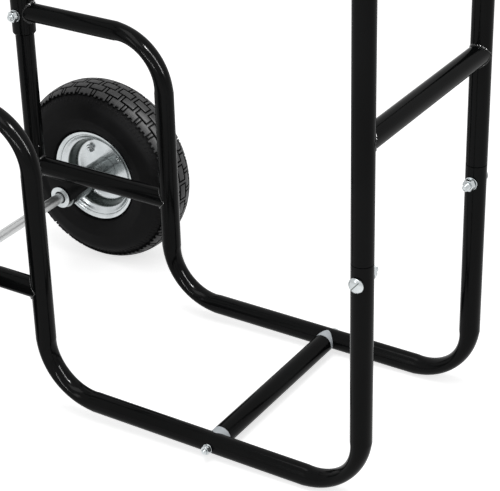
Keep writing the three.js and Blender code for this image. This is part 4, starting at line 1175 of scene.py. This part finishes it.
# %% Both wheels
LEFT_PLACE = Vector((-AXLE_PLACE.x, AXLE_PLACE.y, AXLE_PLACE.z))
WHEEL_TO_FLOOR = {
    "right": Matrix.Translation(AXLE_PLACE),
    "left": Matrix.Translation(LEFT_PLACE) @ Matrix.Rotation(math.pi, 4, "Z"),
}
WHEEL_PIECES = [(tyre, RUBBER, "tyre_rubber", "tyre"), (air_tube, RUBBER, "tube_rubber", "inner_tube"),
                (rim_inner, ZINC, "zinc_plate", "rim_inner_half"),
                (rim_outer, ZINC, "zinc_plate", "rim_outer_half"),
                (hub, ZINC, "zinc_plate", "hub_tube"), (bush, NYLON, "bush_nylon", "hub_bush")]
WHEEL_PIECES += [(bolt, ZINC, "zinc_plate", f"rim_bolt_{k + 1}") for k, bolt in enumerate(rim_bolts)]
for piece, material, slot, node in WHEEL_PIECES:
    other = copy_piece(piece, piece.name.replace("right", "left"))
    for hand, own in (("right", piece), ("left", other)):
        finish_piece(own, material, f"{node}_{hand}", f"wheel_{hand}", WHEEL_TO_FLOOR[hand],
                     38 if node == "tyre" else 32)
print(2 * len(WHEEL_PIECES), "wheel pieces")

# %% [markdown]
# ## Light and floor
# The photograph is a studio picture on white. Soft lamps stand above and on the left. Gloss paint shows a
# lamp as a thin streak, so three narrow strips make the streaks on the bends. They are far too strong for
# bright zinc, so light linking lets them fall on the black pieces alone. The floor and the world are pure
# white for the camera and in reflections, and the world lights the cart only a little.

# %% Lamps, world and floor
CART_MIDDLE = (0, 0, 0.45)
WORLD_LIGHT, FLOOR_GLOW = 0.35, 0.7


def soft_lamp(name, place, width, height, power, aim=CART_MIDDLE):
    """A rectangular lamp that faces the middle of the cart."""
    data = bpy.data.lights.new(name, "AREA")
    data.shape, data.size, data.size_y, data.energy = "RECTANGLE", width, height, power
    lamp = bpy.data.objects.new(name, data)
    away = Vector(place) - Vector(aim)
    lamp.matrix_world = Matrix.LocRotScale(Vector(place), away.to_track_quat("Z", "Y"), None)
    bpy.context.scene.collection.objects.link(lamp)
    return lamp


soft_lamp("top_lamp", (-0.4, -0.3, 3.2), 1.2, 2.4, 34)
soft_lamp("left_lamp", (-2.9, 0.6, 1.9), 0.5, 1.8, 14)
black_pieces = bpy.data.collections.new("black_pieces")
for piece in bpy.data.objects:
    if piece.type == "MESH" and piece.active_material in (PAINT, RUBBER):
        black_pieces.objects.link(piece)
for strip in (soft_lamp("tall_strip", (0.79, -2.16, 2.0), 0.2, 2.4, 150),
              soft_lamp("tall_strip_middle", (0.55, -1.55, 2.9), 0.35, 0.35, 90),
              soft_lamp("low_strip", (-2.75, -1.0, 1.25), 2.4, 0.12, 60)):
    strip.visible_diffuse = False
    strip.light_linking.receiver_collection = black_pieces


def white_rays(tree):
    """1 for the rays that see the backdrop: from the camera, in reflections and through glass."""
    path, *largers = add_nodes(tree, "LightPath", "Math", "Math")
    total = path.outputs["Is Camera Ray"]
    for larger, ray in zip(largers, ("Is Glossy Ray", "Is Transmission Ray")):
        larger.operation = "MAXIMUM"
        tree.links.new(total, larger.inputs[0])
        tree.links.new(path.outputs[ray], larger.inputs[1])
        total = larger.outputs["Value"]
    return total


world = bpy.data.worlds.new("studio")
bpy.context.scene.world = world
world.use_nodes = True
nodes, links = world.node_tree.nodes, world.node_tree.links
around = nodes["Background"]
seen, choose = add_nodes(world.node_tree, "Background", "MixShader")
around.inputs["Color"].default_value = seen.inputs["Color"].default_value = (1, 1, 1, 1)
around.inputs["Strength"].default_value = WORLD_LIGHT
seen.inputs["Strength"].default_value = 1.0
links.new(white_rays(world.node_tree), choose.inputs["Fac"])
links.new(around.outputs["Background"], choose.inputs[1])
links.new(seen.outputs["Background"], choose.inputs[2])
links.new(choose.outputs["Shader"], nodes["World Output"].inputs["Surface"])

deselect_all()
bpy.ops.mesh.primitive_plane_add(size=30, location=(0, 0, 0))
floor = bpy.context.object
floor.name = "floor"
floor_finish = bpy.data.materials.new("white_floor")
floor_finish.use_nodes = True
nodes, links = floor_finish.node_tree.nodes, floor_finish.node_tree.links
shader, (lift,) = nodes["Principled BSDF"], add_nodes(floor_finish.node_tree, "Math")
shader.inputs["Base Color"].default_value = (0.85, 0.85, 0.85, 1)
shader.inputs["Roughness"].default_value = 1.0
shader.inputs["Specular IOR Level"].default_value = 0.0
shader.inputs["Emission Color"].default_value = (1, 1, 1, 1)
lift.operation = "MULTIPLY"
lift.inputs[1].default_value = FLOOR_GLOW
links.new(white_rays(floor_finish.node_tree), lift.inputs[0])
links.new(lift.outputs["Value"], shader.inputs["Emission Strength"])
floor.data.materials.append(floor_finish)

bpy.context.scene.view_settings.view_transform = "Standard"
print("lamps:", [lamp.name for lamp in bpy.data.lights])
